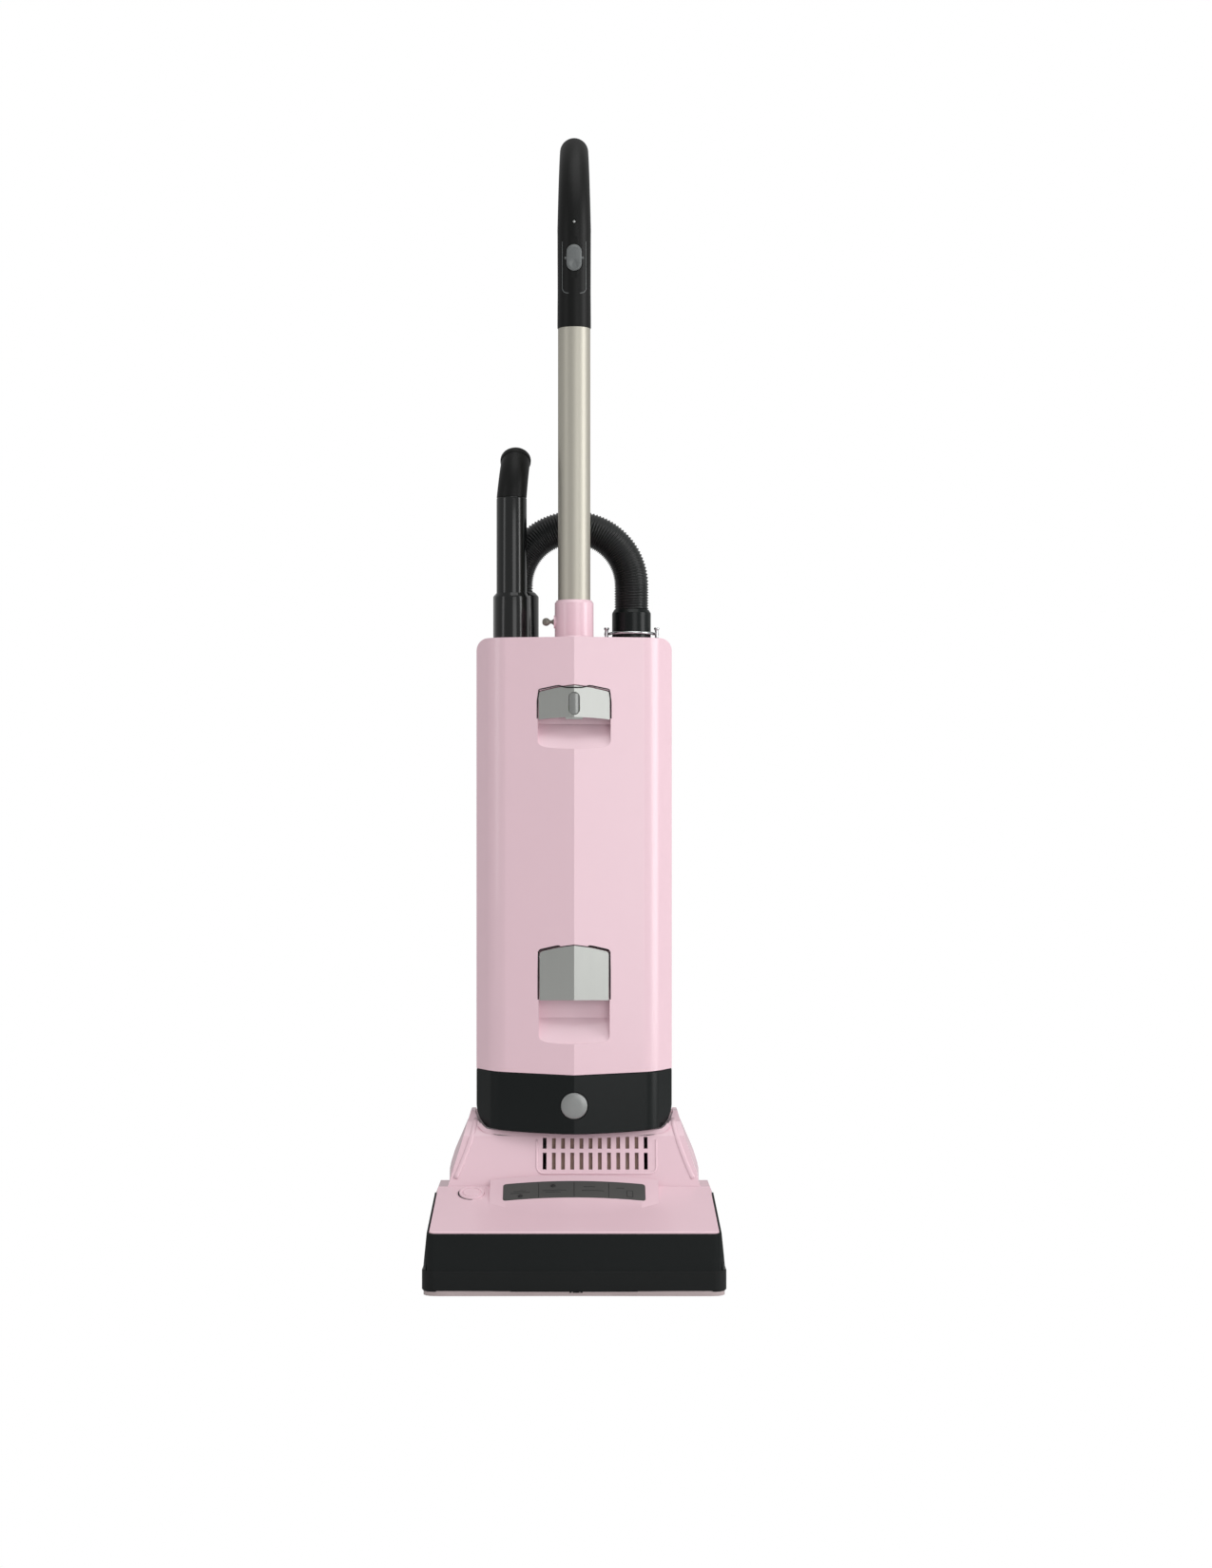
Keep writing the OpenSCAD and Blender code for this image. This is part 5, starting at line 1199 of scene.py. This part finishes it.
def grille():
    """The raised frame round the slots, and the tan filter pad behind all but the end slots."""
    face_top = 149                               # the head's front face ends here, under the body
    spots = box_spots(-39.5, 86.5, 112.0, 156.0, 7, 3)
    path = [front_of("hump_cover", x, min(z, face_top - 0.5)) for x, z in spots if z < face_top]
    jumps = [abs(p.z - q.z) + abs(p.x - q.x) for (p, _), (q, _) in zip(path, path[-1:] + path[:-1])]
    start = jumps.index(max(jumps))              # the open end, where the frame runs under the body
    new_piece("grille_frame", beads([path[start:] + path[:start]], 2.2, 0.7), "head", "pink_shell")
    foot, head = (front_of("hump_cover", -50, z)[0] for z in (116, 147))
    x0, x1, inset, thick, ridges = -24.5, 71.5, 4.2, 4, 24
    rows = []
    for z, y in ((foot.z - 4, foot.y), (head.z + 3, head.y + 1)):
        ridged = [at(x0 + (x1 - x0) * k / ridges, y + inset + (0.9 if k % 2 else 0), z) for k in range(ridges + 1)]
        rows.append(ridged + [at(x, y + inset + thick, z) for x in (x1, x0)])
    new_piece("grille_pad", lofted(rows), "head", "filter_tan", smooth=False)


def pocket_lip():
    """The rim of the head's front face, which follows the foot and corners of the body at an even gap."""
    face_y, lean = front_of("hump_cover", -60, 149)[0].y, 0.583
    half, gap, wide, top = high("exhaust_cover").x, 1.2, 4.4, high("hump_cover").z - 10.5
    outline = []
    for k in range(181):
        x = half * math.sin(math.pi * (k / 180 - 0.5))
        front = surface("exhaust_cover", (max(-103, min(103, x)), -200, 195), AWAY)
        foot = surface("exhaust_cover", (x, front[0].y + 3, 80), UP) if front and abs(x) < half - 0.3 else None
        if foot:
            outline.append(Vector((x, 0, foot[0].z)))
    outline = [Vector((-half, 0, top + 3))] + outline + [Vector((half, 0, top + 3))]
    rings = []
    for before, here, after in zip(outline, outline[1:], outline[2:]):
        along = (after - before).normalized()
        away = Vector((along.z, 0, -along.x))
        inner, outer = here + away * gap, here + away * (gap + wide)
        if inner.z > top or outer.z > top:
            continue
        y0, y1 = (face_y + (p.z - 149) * lean for p in (outer, inner))
        rings.append([at(*p) for p in ((outer.x, y0 + 0.4, outer.z), (inner.x, y1 - 0.5, inner.z),
                                       (inner.x, y1 - 0.1, inner.z + 0.05), (inner.x, y1 + 3.0, inner.z + 0.05),
                                       (outer.x, y0 + 3.4, outer.z))])
    new_piece("pocket_lip", lofted(rings), "head", "pink_shell", 30)


def fender_ridges():
    """The soft ridge down each side of the head, from the shoulder to the cover."""
    paths = []
    for side in (-1, 1):
        spots = [(side * (104 + 21 * t ** 1.4), 171 - 64 * t) for t in (k / 16 for k in range(17))]
        paths.append([hit for hit in (front_of("hump_cover", x, z) for x, z in spots) if hit])
    new_piece("fender_ridges", beads(paths, 5.0, 0.9), "head", "pink_shell")


def fender_swell():
    """The outward swell of the head's flanks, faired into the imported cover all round."""
    heights = (102, 105, 108, 114, 120, 126, 132, 138, 144, 150, 156, 162, 168)
    steps, fade, bury, skirt = 40, 12, 0.6, 89.5
    y0, y1 = low("hump_cover").y + 9, high("hump_cover").y - 3

    def share(value):
        return min(1, max(0, value))

    def swell(z, x):
        return 4.8 * share((166 - z) / 34) ** 0.8 * share((139 - abs(x)) / 9) * share((z - 100) / 16)

    for side, name in ((-1, "left"), (1, "right")):
        bm = bmesh.new()
        rows = []
        for z in heights:
            row = []
            for k in range(steps + 1):
                y = y0 + (y1 - y0) * k / steps
                hit = surface("hump_cover", (side * 250, y, z), (-side, 0, 0))
                flank = hit and abs(hit[0].x) >= 90
                row.append(Vector((hit[0].x + side * swell(z, hit[0].x), y, z)) if flank else None)
            solid = [i for i, q in enumerate(row) if q]
            for i in solid:
                ends = min(i - solid[0], solid[-1] - i)
                keep = min(1, ends / fade)
                keep = keep * keep * (3 - 2 * keep)
                sunk = bury if ends == 0 or z == heights[-1] else 0
                row[i].x -= side * (swell(z, row[i].x) * (1 - keep) + sunk)
            if not rows:
                rows.append([bm.verts.new(at(q.x, q.y, skirt)) if q else None for q in row])
            rows.append([bm.verts.new(q * MM) if q else None for q in row])
        for a, b in zip(rows, rows[1:]):
            for quad in zip(a, a[1:], b[1:], b):
                if all(quad):
                    bm.faces.new(quad)
        piece = new_piece("fender_swell_" + name, bm, "head", "pink_shell")
        thick = piece.modifiers.new("wall", "SOLIDIFY")
        thick.thickness = 1.2 * MM
        thick.offset = -1


def sole_lip():
    """The pale edge of the sole that shows under the bumper, and dark slabs as painted shade for its three small
    notches.
    """
    centre, level, inset, reach = Vector((0, -88, 0)), Vector((0, 0, 10)), 1.6, 400
    rings = []
    for k in range(97):
        a = math.radians(180 + 180 * k / 96)
        aim = Vector((math.cos(a), math.sin(a), 0))
        hit = surface("bumper_strip", centre + level + reach * aim, -aim)
        if hit:
            p = Vector((hit[0].x, hit[0].y, 0)) - aim * inset
            rings.append([(p - aim * back + Vector((0, 0, z))) * MM
                          for back, z in ((0.4, 0.6), (0, 1.1), (0, 5.4), (0.5, 5.9), (6, 5.9), (6, 0.6))])
    new_piece("sole_lip", lofted(rings), "head", "sole_grey", 35)
    # dark slabs stand in for the notches as painted shade
    bm = bmesh.new()
    for x in (-79, 2, 92):
        y = front_of("bumper_strip", x, 10)[0].y
        for shift, half in ((0, 3.4), (5.4, 1.2), (-5.6, 1.0)):
            slab(bm, (x + shift - half, y + 1.35, 3.9), (x + shift + half, y + 4, 6.1))
    new_piece("sole_notches", bm, "head", "dark_hollow", smooth=False)


# ---------------------------------------------------------------- build

make_camera()
make_studio()
for node in NODES:
    finish_node(node)
for node, radius in RADII.items():
    rounded(node, radius)
ribbed_hose()
handle_grip()
rocker()
wand_grip()
panel_marks()
button_ring()
grille()
pocket_lip()
fender_ridges()
fender_swell()
sole_lip()
window_lens()
coil("head_button_spring", "Z", 6)
coil("button_spring", "Y", 5)
clip_posts()
thumb_screw()
cover_disc()
shadow_gap("upper_latch", "upper_latch_gap", 1.3, 0.5)
shadow_gap("lower_latch", "lower_latch_gap", 1.5, 0.0)
dust_bag()
brush_tufts()
screws()
tyre("tyre_left")
tyre("tyre_right")
pleated_filter()
